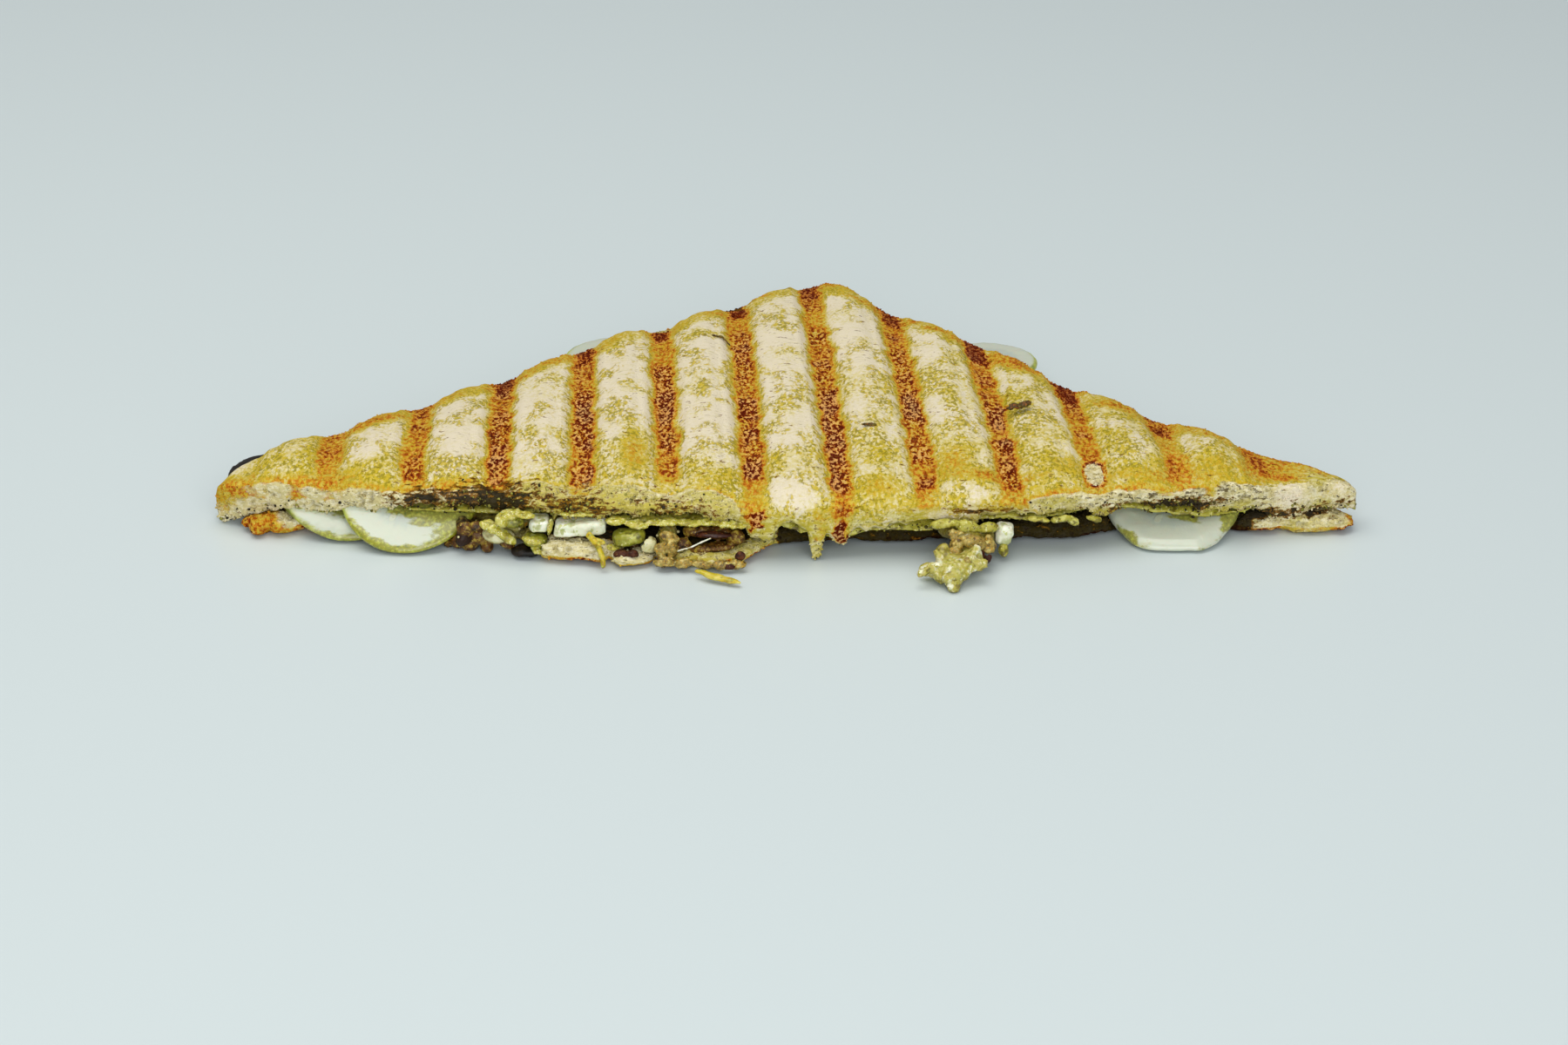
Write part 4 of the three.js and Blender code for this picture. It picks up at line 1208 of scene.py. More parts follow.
    def browning(self, points: np.ndarray, outline: Outline, over: np.ndarray, up: np.ndarray) -> np.ndarray:
        """How far the grilled face is browned.

        Args:
            points: The slice's points.
            outline: Its plan lines.
            over: How far each point is over the cut's upper edge.
            up: How much each point is on the grilled face.

        Returns:
            A level for each point, from 0 for white to 1 for scorched.
        """
        x, y, _ = points.T
        behind, inset = outline.behind(x, y), outline.inset(x, y)
        gap = self.marks.distance(x, y) + 0.9 * (clouds(x, y, (2.6, 2.2), 22) - 0.5)
        pillows = 0.01 + 0.11 * smooth(behind, 28, 4) + 0.13 * smooth(x, -10, 60)
        pillows += 0.22 * (clouds(x, y, (7, 5), 33) - 0.45)
        far = smooth(inset, 9, 6.5) * smooth(x, -62, -50)
        deep = 0.61 + 0.28 * clouds(x, y, (12, 4.5), 21) + 0.14 * far - 0.15 * smooth(inset, 22, 15) * (1 - far)
        deep -= 0.14 * smooth(clouds(x + 40, y, (12, 5), 24), 0.6, 0.8)
        fading = smooth(x, -76, -70) * (1 - 0.6 * smooth(x, 58, 66)) * (1 - 0.75 * smooth(behind, 4.2, 2.0))
        band = smooth(gap, 1.9, 1.0) * up * fading
        fringe = (0.26 + 0.3 * clouds(x, y, (2.2, 3.2), 23)) * smooth(gap, 2.8, 1.6) * up * smooth(x, -86, -75)
        rim = (0.46 * smooth(inset, 10, 5) + 0.14 * smooth(inset, 1.6, 0.2)) * (0.3 + 0.7 * smooth(x, -76, -64))
        rim *= 0.55 + 0.7 * clouds(x, y, (4, 3), 35)
        lip = 0.42 * smooth(over, 2.2, 0.2) * smooth(behind, 6, 3) * (0.5 + 0.7 * clouds(x, y, (5, 3), 31))
        level = highest(pillows, fringe, rim, lip, spotted(points, self.golds))
        return level * (1 - band) + np.maximum(deep, level) * band


@dataclass
class BottomSlice:
    """The bottom slice: crumb above, grilled bands below, and a torn, pushed-out middle.

    Attributes:
        golds: Golden patches.
        browns: Browned patches.
        spread_left: How far the left end is spread along -X.
        spread_forward: Share of that by which it is also spread along -Y.
        tears: Middle, half width and depth of each notch.
    """

    marks: GrillMarks = GrillMarks()
    skin: Skin = Skin(0.45, 1, 3)
    relief: Relief = Relief(2.4, 0.34, 1.1, 0.42, 1.5, 0.6, 0.05)
    golds: tuple[Spot, ...] = Spot.rows(
        (-78, -31, 1.5, 8, 8, 3, 0.66), (83, -28, 1.4, 5, 7, 2, 0.6), (80, -34, 1.2, 5, 3, 1.5, 0.58),
        (78, -32, 1.6, 9, 5, 2.4, 0.36), (-13, -44, 1.2, 7, 4, 1.6, 0.55), (-25.4, -45, 1.5, 1.8, 4, 2, 0.55),
        (-30, -43, 0.4, 10, 4, 0.8, 0.55),
    )
    browns: tuple[Spot, ...] = Spot.rows(
        (-71, -31, 1, 3, 3, 1.2, 0.82), (-8, -45, 1, 3, 3, 1.2, 0.8), (-16, -45, 0.6, 3, 3, 0.8, 0.75),
        (68, -31, 0.8, 3, 3, 1.2, 0.8),
    )
    spread_left: float = 2.0
    spread_forward: float = 0.7
    tears: tuple[Triple, ...] = (
        (-77.4, 0.7, 1.6), (-74.6, 0.6, 1.4), (-25.3, 0.8, 2.2), (-18.4, 0.9, 1.8), (-13, 0.7, 1.0),
        (-8.6, 0.7, 1.2), (73.5, 1.4, 0.9), (81.0, 1.0, 0.7),
    )

    def build(self) -> bpy.types.Mesh:
        """Makes the slice.

        Returns:
            Its mesh, with the fields that its crumbs are strewn by.
        """
        surface = Surface(self.skin.over("bread_bottom"))
        self.tear(surface)
        self.paint(surface)
        return dress("bottom_slice", surface, self.relief, Finish.BREAD, "bread_bottom")

    def tear(self, surface: Surface) -> None:
        """Tears notches into the pushed-out edge, between its chunks of bread.

        Args:
            surface: The slice's surface.
        """
        x, y, _ = surface.points.T
        near = smooth(Outline(surface.points).behind(x, y), 5, 0)
        notches = sum(depth * near * np.exp(-(((x - at) / half) ** 2)) for at, half, depth in self.tears)
        left = self.spread_left * smooth(x, -68, -77) * near
        surface.move(-left, notches - self.spread_forward * left)

    def paint(self, surface: Surface) -> None:
        """Paints the browning, the crumb, what has soaked into it, and painted shade under the top slice and in the
        gap at the right end.

        Args:
            surface: The slice's surface.
        """
        points, normals = surface.points, surface.normals
        x, y, z = points.T
        outline = Outline(points)
        behind, inset = outline.behind(x, y), outline.inset(x, y)
        down = smooth(-normals[:, 2], 0.0, 0.4)
        marked = smooth(self.marks.distance(x, y), 2.8, 1.2)
        ends, middle = smooth(x, 64, 70), between(x, -37, -34, -20, -16)
        level = highest(
            0.5 * smooth(inset, 2.5, 0.4),
            (0.45 + 0.35 * marked) * down,
            0.72 * smooth(z, 0.6, 0.15) * (1 - 0.6 * ends),
            spotted(points, self.golds + self.browns),
        )
        # The front under the top slice is painted dark and browner: painted shade.
        hidden = between(x, -1.4, -0.2, 62, 68) * smooth(behind, 16, 9)
        wet = 0.8 - 0.66 * middle - np.maximum(0.4 * ends, 0.75 * smooth(x, -64, -68))
        wet += 0.5 * (clouds(x, y, (3, 2), 41) - 0.5)
        # The upward face behind the cut, under the filling, is painted dark.
        dark = 0.9 * smooth(behind, 2.2, 5) * smooth(normals[:, 2], 0.2, 0.5) * smooth(inset, 2, 5)
        # The gap between the slices at the right end is painted dark: painted shade.
        gap_shade = (smooth(z, 2.5, 3.1) * smooth(x, 62, 66) + between(x, 60, 64, 67, 71)) * smooth(behind, 6, 3)
        surface.paint(
            browned=level * (1 - 0.6 * hidden) + 0.5 * hidden,
            cut=(1 - down) * smooth(z, 0.35, 0.8) * (1 - smooth(level, 0.35, 0.55)),
            torn=smooth(behind, 6, 3) * smooth(normals[:, 2], -0.4, 0),
            moss=wet * smooth(behind, 9, 5) * (1 - smooth(level, 0.45, 0.7)),
            stain=1.3 * highest(dark, hidden, gap_shade),
            rough=0.5 + 0.5 * smooth(level, 0.3, 0.6),
        )


# What is between the slices

@dataclass
class ChutneySpread:
    """The thin green spread under the top slice."""

    skin: Skin = Skin(0.5, 1, 2)
    relief: Relief = Relief(1.6, 0.22, 0.7, 0.15)
    hem_lift: float = 0.7

    def build(self) -> bpy.types.Mesh:
        """Makes the spread.

        Returns:
            Its mesh, with the field that its herbs are strewn by.
        """
        surface = Surface(self.skin.over("chutney"))
        x, y, _ = surface.points.T
        outline = Outline(surface.points)
        behind, inset = outline.behind(x, y), outline.inset(x, y)
        surface.move(z=self.hem_lift * between(x, 9, 13, 28, 38) * smooth(behind, 7, 2))
        surface.paint(rough=1, herbs=np.maximum(smooth(behind, 3, 1), smooth(inset, 2, 0.6)))
        return dress("chutney_spread", surface, self.relief, Finish.CHUTNEY, "chutney")


@dataclass
class Filling:
    """The mash that runs through, and the heap of it that fell out at the front.

    Attributes:
        darks: Where the mash is painted dark: browned mash, and painted shade in the gap between the slices and in
            the hollows at the cut.
    """

    skin: Skin = Skin(0.42, 1, 2)
    relief: Relief = Relief(2.2, 0.45, 0.9, 0.35)
    heap_relief: Relief = Relief(2.6, 0.8, 1.1, 0.3)
    darks: tuple[Spot, ...] = Spot.rows(
        (24, -38, 2, 22, 7, 4), (-46, -38, 2, 5, 6, 4), (-11, -36, 3, 7, 7, 4), (4, -38, 4, 8, 8, 5),
        (27, -38, 2, 4, 5, 2, 0.8), (44, -33, 2, 9, 6, 3, 0.9), (68, -28, 3, 8, 8, 4), (-62, -26, 3, 14, 8, 4),
    )

    def build(self) -> bpy.types.Mesh:
        """Makes the mash and the heap.

        Returns:
            The mash's mesh, with the field that its crumbs are strewn by.
        """
        core = Surface(self.skin.over("filling"))
        # Dark spots: browned mash, and painted shade in the gap between the slices and in the hollows.
        dark = spotted(core.points, self.darks)
        core.paint(rough=1, dark=dark, loose=smooth(core.points[:, 1], -26, -31) * (1 - dark))
        mesh = dress("filling_mash", core, self.relief, Finish.MASH, "filling")
        heap = Surface(self.skin.over("filling_heap"))
        # The back of the heap, under the top slice, is painted dark: painted shade.
        heap.paint(rough=1, dark=0.6 * smooth(heap.points[:, 1], -47, -43.5))
        dress("filling_crumbled", heap, self.heap_relief, Finish.PALE_MASH, "filling_heap")
        return mesh


@dataclass(frozen=True)
class CucumberSlice:
    """One slice of cucumber, flat or drooping over a fold that runs along X.

    Attributes:
        node: The solid that it stands for.
        x: X of its middle.
        y: Y of its middle.
        z: Z of its middle.
        radius: Its radius.
        fold: Y of the fold, or None for a flat slice.
        bend: Angle of the fold in radians.
        smears: Where chutney sticks to it.
        pushed: How far its lowest edge stands out at the front.
        shift: How far it slid from its solid.
        SKIN_DEPTH: Thickness of its green skin.
        UNDER: How its facets are made.
        RELIEF: Its relief.
    """

    node: str
    x: float
    y: float
    z: float
    radius: float
    fold: float | None = None
    bend: float = 0.0
    smears: tuple[Spot, ...] = ()
    pushed: float = 0.0
    shift: Triple = (0.0, 0.0, 0.0)

    SKIN_DEPTH = 0.45
    UNDER = Skin(0.26, 2, 3)
    RELIEF = Relief(4, 0.1, 1.2, 0.08)

    def build(self) -> None:
        """Makes the slice."""
        surface = Surface(self.UNDER.over(self.node))
        x, y, z = surface.points.T
        reach = y - self.y
        if self.fold is not None:
            beyond = (self.fold - y) * math.cos(self.bend) + (self.z - z) * math.sin(self.bend)
            reach = np.where(y < self.fold, self.fold - self.y - beyond, reach)
        away = np.hypot(x - self.x, reach)
        flesh = self.radius - self.SKIN_DEPTH
        rim = 0.62 * smooth(away, self.radius - 2.4, self.radius - 0.8) * smooth(z, self.z, self.z - 1.5)
        surface.paint(
            ring=away / self.radius,
            skin=smooth(away, flesh - 0.35, flesh),
            spoke_x=0.5 + 0.5 * (x - self.x) / np.maximum(away, 0.1),
            spoke_y=0.5 + 0.5 * reach / np.maximum(away, 0.1),
            smear=np.maximum(1.4 * spotted(surface.points, self.smears), rim),
            rough=0.5,
        )
        along, back, up = self.shift
        surface.move(along, back - self.pushed * smooth(z, 2.6, 0.6) * smooth(y, -33, -36.5), up)
        dress(self.node + "_slice", surface, self.RELIEF, Finish.CUCUMBER, self.node)


CUCUMBERS = (
    CucumberSlice(
        "cucumber_left_outer", -55.1, -30.6, 5.4, 10.7, -32.5, 0.68,
        Spot.rows(
            (-46, -37, 3.0, 5, 4, 4), (-50, -34, 5.2, 8, 3, 1.6), (-58, -33, 5.8, 4, 2, 1, 0.6),
            (-52, -35.5, 4.0, 4, 1.6, 1.2, 0.6),
        ),
    ),
    CucumberSlice(
        "cucumber_left_inner", -64.5, -26.4, 3.9, 10.5, -31, 0.8, Spot.rows((-66, -31, 4, 8, 2, 1.2, 0.7))
    ),
    CucumberSlice(
        "cucumber_right", 57.5, -28.2, 4.55, 11.6, -25.6, 0.34,
        Spot.rows(
            (66.5, -33, 3, 2.2, 4, 2.4), (49.8, -36, 1.2, 2.4, 3, 1.4, 0.8), (59, -33.5, 4.2, 3.6, 1.8, 1.2, 0.9),
            (57, -37, 2.4, 6, 1, 0.3, 0.5),
        ),
        pushed=1.3,
    ),
    CucumberSlice("cucumber_back_right", 33.4, 23.4, 4.8, 7.8),
    CucumberSlice("cucumber_back_left", -26.5, 21, 4.8, 9.2, shift=(0.0, 1.6, 0.9)),
)


@dataclass(frozen=True)
class Morsel:
    """A diced, torn or sliced bit of vegetable at the cut."""

    node: str
    finish: Finish
    cell: float = 0.2
    rounding: int = 1

    RELIEF = Relief(1.5, 0.26, 0.6, 0.12)

    def build(self) -> None:
        """Makes the morsel."""
        surface = Surface(Skin(self.cell, self.rounding, 3).over(self.node))
        # Undersides painted dark: painted shade.
        surface.paint(rough=0.6, dark=0.5 * smooth(surface.normals[:, 2], 0.1, -0.6))
        dress(self.node + "_bit", surface, self.RELIEF, self.finish, self.node)


MORSELS = (
    Morsel("potato_cube_small", Finish.POTATO, 0.2, 0),
    Morsel("potato_cube_large", Finish.POTATO, 0.2, 0),
    Morsel("potato_cube_right", Finish.POTATO, 0.2, 0),
    Morsel("green_lump", Finish.PEPPER),
    Morsel("pepper_wedge", Finish.PEPPER),
    Morsel("green_chunk", Finish.PEPPER),
    Morsel("onion_petal", Finish.ONION),
    Morsel("onion_dice", Finish.ONION),
    Morsel("onion_strip", Finish.FRIED),
    Morsel("beet_slice_left", Finish.BEET, 0.3),
    Morsel("beet_slice_front", Finish.BEET),
    Morsel("yellow_shred", Finish.SHRED),
)


@dataclass(frozen=True)
class Blob(Ellipsoid):
    """One soft lump, turned by so many degrees in the plane of the cut."""

    turn: float = 0.0


def strand(points: Sequence[Triple], half: float, tip: float | None = None) -> tuple[Blob, ...]:
    """A row of overlapping lumps along a line, which fuse into a strand.

    Args:
        points: The line's corners.
        half: Half of the strand's width.
        tip: Half of its width at the far end, or None for an even strand.

    Returns:
        The lumps.
    """
    tip = half if tip is None else tip
    corners = [Vector(point) for point in points]
    row = []
    for number, (start, end) in enumerate(zip(corners, corners[1:])):
        steps = max(2, math.ceil((end - start).length / (0.5 * min(half, tip))))
        for step in range(steps + 1):
            share = step / steps
            wide = half + (tip - half) * (number + share) / (len(corners) - 1)
            row.append(Blob(tuple(start.lerp(end, share)), (wide, wide, wide)))
    return tuple(row)


@dataclass(frozen=True)
class Mush:
    """Thin sauce, crumbs and shreds that fused into one ragged bit.

    Attributes:
        name: The piece's name.
        finish: What it is made of.
        blobs: The lumps that fuse.
        cell: Width of its facets.
        relief: Its own relief.
    """

    name: str
    finish: Finish
    blobs: tuple[Blob, ...]
    cell: float = 0.2
    relief: Relief = Relief(1.3, 0.32, 0.6, 0.16)

    def build(self) -> None:
        """Makes the bit."""
        shape = bmesh.new()
        for blob in self.blobs:
            moved = Matrix.Translation(Vector(blob.at) * MM)
            turned = Matrix.Rotation(math.radians(blob.turn), 4, "Y")
            sized = Matrix.Diagonal((*(MM * half for half in blob.reach), 1))
            bmesh.ops.create_icosphere(shape, subdivisions=3, radius=1.0, matrix=moved @ turned @ sized)
        mesh = bpy.data.meshes.new(self.name)
        shape.to_mesh(mesh)
        shape.free()
        surface = Surface(Skin(self.cell, 0, 1).grow(mesh, self.name + "_skin"))
        # Undersides painted dark: painted shade.
        surface.paint(rough=1, dark=0.5 * smooth(surface.normals[:, 2], 0.0, -0.6))
        dress(self.name, surface, self.relief, self.finish)


MUSHES = (
    Mush(
        "browned_mash_left", Finish.DARK_MASH,
        Blob.rows(
            (-47.6, -36.8, 1.3, 1.5, 1.4, 1.2), (-46.0, -37.4, 1.1, 1.3, 1.3, 1.1),
            (-44.8, -37.4, 2.4, 1.5, 1.3, 1.4), (-46.4, -36.2, 2.9, 1.4, 1.2, 1.3),
            (-46.6, -38.4, 3.8, 1.2, 0.9, 1.3), (-44.9, -38.9, 4.6, 1.0, 0.8, 0.8),
            (-43.4, -38.2, 1.0, 0.9, 1.0, 1.0), (-48.9, -36.2, 0.7, 1.1, 1.0, 0.7),
            (-42.6, -38.2, 2.7, 1.4, 1.1, 0.9, 30), (-40.6, -38.6, 1.9, 1.5, 1.2, 0.8, 30),
        ),
    ),
    Mush(
        "smears_left", Finish.LIME,
        Blob.rows(
            (-42.4, -38.9, 4.3, 2.2, 1.0, 0.9, 28), (-40.4, -39.5, 3.1, 1.8, 1.0, 0.8, 40),
            (-39.8, -38.9, 6.4, 1.9, 1.3, 0.8, -12), (-41.0, -39.2, 5.5, 1.2, 1.0, 0.8, 20),
            (-37.6, -39.8, 6.8, 1.5, 1.2, 0.4, 8), (-34.0, -40.0, 5.0, 0.4, 1.1, 1.3, 12),
            (-36.6, -40.8, 3.2, 1.6, 1.0, 0.5, 12), (-35.7, -40.5, 1.6, 1.3, 1.1, 0.5, 20),
        ),
        0.16, Relief(1.2, 0.45, 0.5, 0.2),
    ),
    Mush(
        "smears_middle", Finish.LIME,
        Blob.rows(
            (-30.0, -39.0, 6.8, 3.8, 1.3, 0.35), (-24.4, -40.4, 6.2, 1.6, 1.3, 0.45),
            (-24.8, -41.6, 2.5, 1.0, 1.0, 0.4), (-21.4, -40.8, 5.8, 1.9, 1.2, 0.4, 8),
            (-17.4, -40.4, 6.0, 2.8, 1.2, 0.4), (-12.6, -40.4, 5.9, 3.2, 1.2, 0.45, -3),
            (-8.0, -40.8, 5.8, 2.6, 1.2, 0.5, 4),
        ),
        0.16, Relief(1.2, 0.45, 0.5, 0.2),
    ),
    Mush(
        "orange_shred", Finish.SHRED,
        strand(((-28.2, -41.8, 4.5), (-27.0, -43.2, 3.6), (-26.2, -44.3, 2.2), (-26.1, -44.9, 1.1)), 0.5, 0.35)
        + strand(((-27.2, -42.4, 4.1), (-26.2, -42.8, 3.8)), 0.35),
        0.16, Relief(0.8, 0.16, 0.5, 0.16),
    ),
    Mush(
        "dark_red_bits", Finish.RED_BIT,
        Blob.rows(
            (-23.6, -42.9, 2.0, 1.1, 0.8, 0.7, -10), (-21.9, -43.0, 2.1, 0.9, 0.8, 0.6),
            (-6.4, -44.2, 2.3, 0.8, 0.5, 0.8), (-8.0, -45.0, 1.0, 1.1, 0.5, 0.5),
            (27.8, -44.4, 3.1, 1.2, 0.8, 0.7, 20), (29.3, -44.9, 2.2, 0.9, 0.6, 0.5, -40),
        ),
        0.16,
    ),
    Mush(
        "golden_crumb", Finish.GOLDEN_MASH,
        Blob.rows(
            (-16.6, -42.0, 4.3, 1.5, 1.0, 0.7, 14), (-17.9, -43.2, 2.9, 0.9, 1.0, 1.0, 20),
            (-16.2, -43.0, 3.0, 1.0, 1.0, 1.2, -18), (-17.2, -44.3, 1.4, 1.7, 0.9, 0.8),
            (-14.6, -44.4, 1.2, 1.5, 0.8, 0.7), (-11.8, -44.8, 1.2, 1.6, 0.8, 0.6, 8),
            (-9.0, -44.9, 1.2, 1.5, 0.7, 0.7), (-6.6, -44.6, 1.2, 1.3, 0.7, 0.7),
        ),
        0.2, Relief(1.0, 0.4, 0.6, 0.25),
    ),
    # Mash that fills the hollow at the cut; its dark colour is partly painted shade of the hollow.
    Mush(
        "cavity_mash", Finish.DARK_MASH,
        Blob.rows(
            (-12.8, -39.8, 4.4, 2.0, 1.2, 0.9, -8), (-9.6, -40.0, 4.1, 2.0, 1.2, 1.0),
            (-7.0, -40.6, 3.6, 1.3, 1.1, 1.3), (-10.4, -41.4, 2.3, 3.4, 1.2, 0.7, -6),
            (-14.8, -40.8, 2.6, 1.4, 1.1, 1.0),
        ),
    ),
    Mush(
        "white_thread", Finish.PALE_SHRED,
        strand(((-15.5, -43.4, 2.7), (-13.4, -43.7, 3.5), (-12.0, -43.6, 4.2), (-10.6, -43.3, 4.7)), 0.13),
        0.1, Relief(1.0, 0.05, 0.5, 0.03),
    ),
    Mush(
        "heap_lobes", Finish.PALE_MASH,
        (
            *Blob.rows((24.6, -48.6, 2.2, 2.3, 1.7, 1.5, 12), (26.4, -47.8, 2.9, 1.7, 1.4, 1.3, -30)),
            *strand(((23.6, -48.6, 2.4), (20.9, -49.2, 2.7), (19.5, -49.8, 2.2)), 1.0, 0.45),
            *strand(((23.4, -48.2, 3.0), (21.6, -48.0, 4.9)), 0.8, 0.35),
            *strand(((26.4, -47.6, 3.4), (27.4, -47.0, 4.6)), 1.0, 0.6),
            *strand(((24.4, -49.2, 1.8), (24.2, -51.0, 1.0)), 1.5, 1.0),
            *strand(((26.8, -48.2, 2.4), (28.6, -48.0, 2.9)), 1.0, 0.7),
            *Blob.rows((22.4, -49.6, 1.5, 1.1, 0.9, 0.8, 40)),
        ),
        0.16, Relief(1.7, 0.7, 0.6, 0.28),
    ),
    Mush(
        "heap_bits", Finish.GOLDEN_MASH,
        (
            *strand(((26.2, -48.4, 3.6), (27.4, -48.0, 3.2), (28.0, -47.6, 2.2)), 0.6, 0.3),
            *strand(((24.4, -41.8, 4.6), (26.8, -42.2, 4.2), (29.4, -42.0, 3.6)), 0.8, 0.5),
            *Blob.rows(
                (27.4, -43.8, 4.3, 1.9, 1.2, 1.0, 12), (25.2, -43.4, 3.9, 1.3, 1.1, 0.9, -20),
                (24.6, -44.6, 3.0, 1.1, 1.0, 0.9), (29.4, -43.4, 3.3, 1.2, 1.0, 0.9, 30),
            ),
            *strand(((26.4, -43.6, 3.0), (28.6, -43.2, 2.6)), 0.6, 0.4),
            *strand(((29.6, -42.4, 4.4), (30.6, -42.6, 3.0)), 0.5, 0.3),
        ),
        0.16, Relief(0.9, 0.4, 0.5, 0.25),
    ),
    Mush(
        "smears_right", Finish.CHUTNEY,
        Blob.rows(
            (23.2, -40.9, 5.9, 2.2, 0.9, 0.7, -8), (26.6, -41.0, 5.5, 1.8, 0.9, 1.0, 12),
            (31.9, -40.9, 1.7, 0.8, 0.9, 1.1), (29.6, -40.9, 5.3, 1.6, 0.9, 0.8, -10),
            (36.8, -39.4, 5.9, 2.0, 0.7, 0.4, 6), (40.4, -38.7, 5.7, 1.7, 0.6, 0.5, -12),
            (42.0, -38.4, 5.3, 1.1, 0.7, 0.7, 35), (45.2, -37.4, 5.1, 1.3, 0.6, 0.5, 16),
        ),
        0.18, Relief(1.5, 0.35, 0.5, 0.12),
    ),
    Mush(
        "dark_flakes", Finish.FLAKE,
        (
            *Blob.rows(
                (35.2, -12.4, 12.35, 1.1, 0.7, 0.35, 12), (36.6, -11.7, 12.4, 1.0, 0.8, 0.4, -14),
                (34.2, -12.9, 12.2, 0.6, 0.4, 0.3), (13.0, -19.7, 12.45, 1.0, 0.4, 0.25, 8),
                (12.1, -19.4, 12.4, 0.5, 0.3, 0.2),
            ),
            *strand(((-11.4, 18.6, 11.5), (-9.9, 17.4, 11.7), (-8.6, 15.0, 11.2)), 0.16),
        ),
        0.14, Relief(0.8, 0.2, 0.4, 0.15),
    ),
)


# Crumbs and flecks

@dataclass(frozen=True)
class Scatter:
    """Small bits that Geometry Nodes strew over a piece, where a field is painted.

    Attributes:
        name: The bits' name.
        over: The node of the piece that they lie on.
        where: The painted field that says how thick they lie.
        finish: What they are made of.
        per_mm2: How many there are on a square millimetre where the field is 1.
        smallest: Width of the smallest.
        largest: Width of the largest.
        seed: Picks the random pattern.
        slim: Least share of the width that a bit has along each of its axes.
        broad: Greatest share of the width that a bit has along each of its axes.
        tilt: How far a bit may lean from the surface, in radians.
        lift: How far the bits stand above the surface.
    """

    name: str
    over: str
    where: str
    finish: Finish
    per_mm2: float
    smallest: float
    largest: float
    seed: int
    slim: Triple
    broad: Triple = (1.0, 1.0, 1.0)
    tilt: float = math.pi
    lift: float = 0.0

    def strew(self, over: bpy.types.Mesh) -> None:
        """Strews the bits and makes a piece of them, in which each is painted with its own "shade".

        Args:
            over: The mesh that they lie on.
        """
        sizes = {
            "Where": self.where,
            "Per square metre": self.per_mm2 / MM**2,
            "Smallest": self.smallest * MM,
            "Largest": self.largest * MM,
            "Lift": self.lift * MM,
            "Seed": self.seed,
        }
        tree = Recipe(self.name, sizes)
        density = tree.painted(tree.inputs["Where"]) * tree.inputs["Per square metre"]
        sockets = {"Mesh": tree.inputs["Geometry"], "Density": density, "Seed": tree.inputs["Seed"]}
        settings = {"distribute_method": "RANDOM"}
        points = tree.add("GeometryNodeDistributePointsOnFaces", settings, sockets)
        normal, facing = (Flow(tree, points.socket.node.outputs[name]) for name in ("Normal", "Rotation"))
        offset = tree.scaled(normal, tree.inputs["Lift"])
        raised = tree.add("GeometryNodeSetPosition", None, {"Geometry": points, "Offset": offset})
        lean = self.random(tree, (-self.tilt, -self.tilt, -math.pi), (self.tilt, self.tilt, math.pi), 1)
        turn = tree.add("FunctionNodeEulerToRotation", None, {"Euler": lean})
        turned = tree.add("FunctionNodeRotateRotation", {"rotation_space": "LOCAL"}, {0: facing, 1: turn})
        width = tree.inputs["Largest"] - tree.inputs["Smallest"]
        width = tree.inputs["Smallest"] + width * self.random(tree, 0.0, 1.0, 2)
        size = tree.scaled(self.random(tree, self.slim, self.broad, 3), width)
        ball = tree.add("GeometryNodeMeshIcoSphere", None, {"Radius": 0.5, "Subdivisions": 1})
        placed = {"Points": raised, "Instance": ball, "Rotation": turned, "Scale": size}
        bits = tree.add("GeometryNodeInstanceOnPoints", None, placed)
        shaded = tree.stored(bits, "shade", self.random(tree, 0.0, 1.0, 4), "INSTANCE")
        place(self.name, tree.run(over, shaded, self.finish.material), self.finish)

    def random(self, tree: Recipe, low: Triple | float, high: Triple | float, salt: int) -> Flow:
        """A random number or vector for each bit.

        Args:
            tree: The tree that uses it.
            low: Its least value.
            high: Its largest value.
            salt: Keeps it apart from the other random numbers.

        Returns:
            The number or vector.
        """
        kind, first, output = ("FLOAT", 2, 1) if isinstance(low, float) else ("FLOAT_VECTOR", 0, 0)
        sockets = {first: low, first + 1: high, "Seed": self.seed + 100 * salt}
        return tree.add("FunctionNodeRandomValue", {"data_type": kind}, sockets, output)


# The greatest shares of their width that torn crumbs have along their axes, and the least of flat herbs
BROAD = (1.6, 0.8, 0.7)
FLAT = (0.3, 0.3, 0.15)

CRUMBS = (
    Scatter(
        "browned_grains", "bread_top", "crusty", Finish.BREAD,
        3.6, 0.28, 0.7, 1, (0.6, 0.4, 0.35), (1.3, 0.8, 0.8), 0.9,
    ),
    Scatter(
        "golden_grains", "bread_top", "sandy", Finish.BREAD,
        2.4, 0.25, 0.55, 2, (0.6, 0.4, 0.3), (1.4, 0.8, 0.7), 0.9,
    ),
    Scatter("torn_crumbs", "bread_top", "torn", Finish.BREAD, 2.2, 0.3, 0.9, 3, (0.5, 0.3, 0.3), BROAD),
    Scatter("lower_crumbs", "bread_bottom", "torn", Finish.BREAD, 1.4, 0.3, 0.8, 4, (0.5, 0.3, 0.3), BROAD),
    Scatter("herb_flecks", "bread_top", "herbs", Finish.HERB, 1.6, 0.3, 0.8, 5, FLAT, lift=0.05),
    Scatter("chutney_flecks", "chutney", "herbs", Finish.HERB, 0.8, 0.3, 0.8, 6, FLAT, lift=0.1),
    Scatter(
        "filling_crumbs", "filling", "loose", Finish.MASH_BIT,
        0.5, 0.25, 0.7, 10, (0.35, 0.35, 0.35), lift=0.1,
    ),
)


# The studio

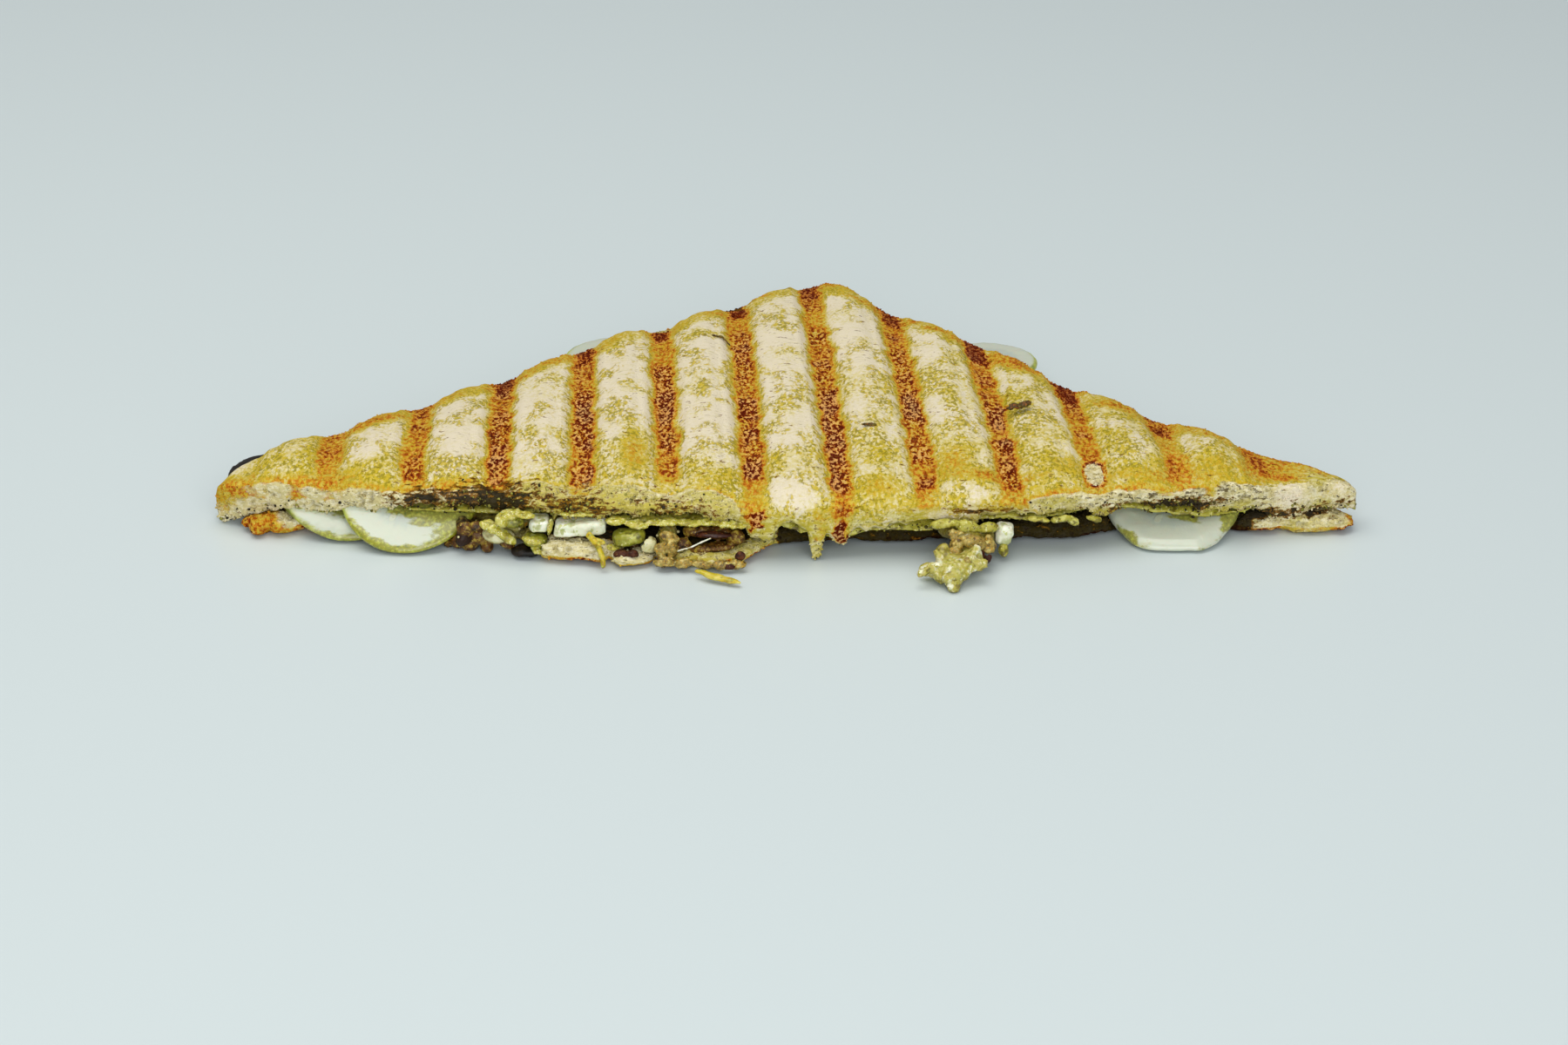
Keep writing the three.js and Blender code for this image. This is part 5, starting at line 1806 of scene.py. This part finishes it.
@dataclass(frozen=True)
class Studio:
    """A pale floor, soft light and a camera at the photograph's angle."""

    floor_colour: str = "#cfd9d9"
    floor_half: float = 3.0
    camera_at: Triple = (0.0, -0.4824, 0.212)
    camera_pitch: float = 65.0
    lens: float = 77.2
    surround: str = "#dfe6ee"
    surround_strength: float = 0.36

    def build(self) -> None:
        """Makes the floor, the lights and the camera."""
        self.floor()
        self.light("key light", (-0.16, 0.02, 0.75), 0.8, 4.9, "#fffdf8")
        self.light("front light", (0.10, -0.85, 0.30), 0.8, 6.0, "#fcfdff")
        world = bpy.data.worlds.new("studio")
        world.use_nodes = True
        background = world.node_tree.nodes["Background"]
        background.inputs["Color"].default_value = linear(self.surround)
        background.inputs["Strength"].default_value = self.surround_strength
        scene = bpy.context.scene
        scene.world = world
        scene.view_settings.view_transform = "Standard"
        lens = bpy.data.cameras.new("camera")
        lens.lens = self.lens
        camera = bpy.data.objects.new("camera", lens)
        camera.location = self.camera_at
        camera.rotation_euler = (math.radians(self.camera_pitch), 0, 0)
        scene.collection.objects.link(camera)
        scene.camera = camera

    def floor(self) -> None:
        """Makes the floor."""
        half = self.floor_half
        mesh = bpy.data.meshes.new("floor")
        corners = [(-half, -half, 0), (half, -half, 0), (half, half, 0), (-half, half, 0)]
        mesh.from_pydata(corners, [], [(0, 1, 2, 3)])
        paint = Paint("pale floor")
        sockets = {"Base Color": linear(self.floor_colour), "Roughness": 0.35, "Specular IOR Level": 0.4}
        mesh.materials.append(paint.finish(sockets))
        floor = bpy.data.objects.new("floor", mesh)
        bpy.context.scene.collection.objects.link(floor)

    def light(self, name: str, at: Triple, size: float, power: float, tint: str) -> None:
        """Hangs a square soft light that faces the sandwich.

        Args:
            name: Its name.
            at: Its place in metres.
            size: Its side in metres.
            power: In watts.
            tint: Its display colour.
        """
        lamp = bpy.data.lights.new(name, "AREA")
        lamp.size = size
        lamp.energy = power
        lamp.color = linear(tint)[:3]
        holder = bpy.data.objects.new(name, lamp)
        holder.location = at
        holder.rotation_euler = (-Vector(at)).to_track_quat("-Z", "Y").to_euler()
        bpy.context.scene.collection.objects.link(holder)


def main() -> None:
    """Builds the studio and the sandwich."""
    logging.basicConfig(level=logging.INFO, format="%(message)s")
    Studio().build()
    meshes = {
        "bread_top": TopSlice().build(),
        "bread_bottom": BottomSlice().build(),
        "chutney": ChutneySpread().build(),
        "filling": Filling().build(),
    }
    for piece in (*CUCUMBERS, *MORSELS, *MUSHES):
        piece.build()
    for crumbs in CRUMBS:
        crumbs.strew(meshes[crumbs.over])


if __name__ == "__main__":
    main()
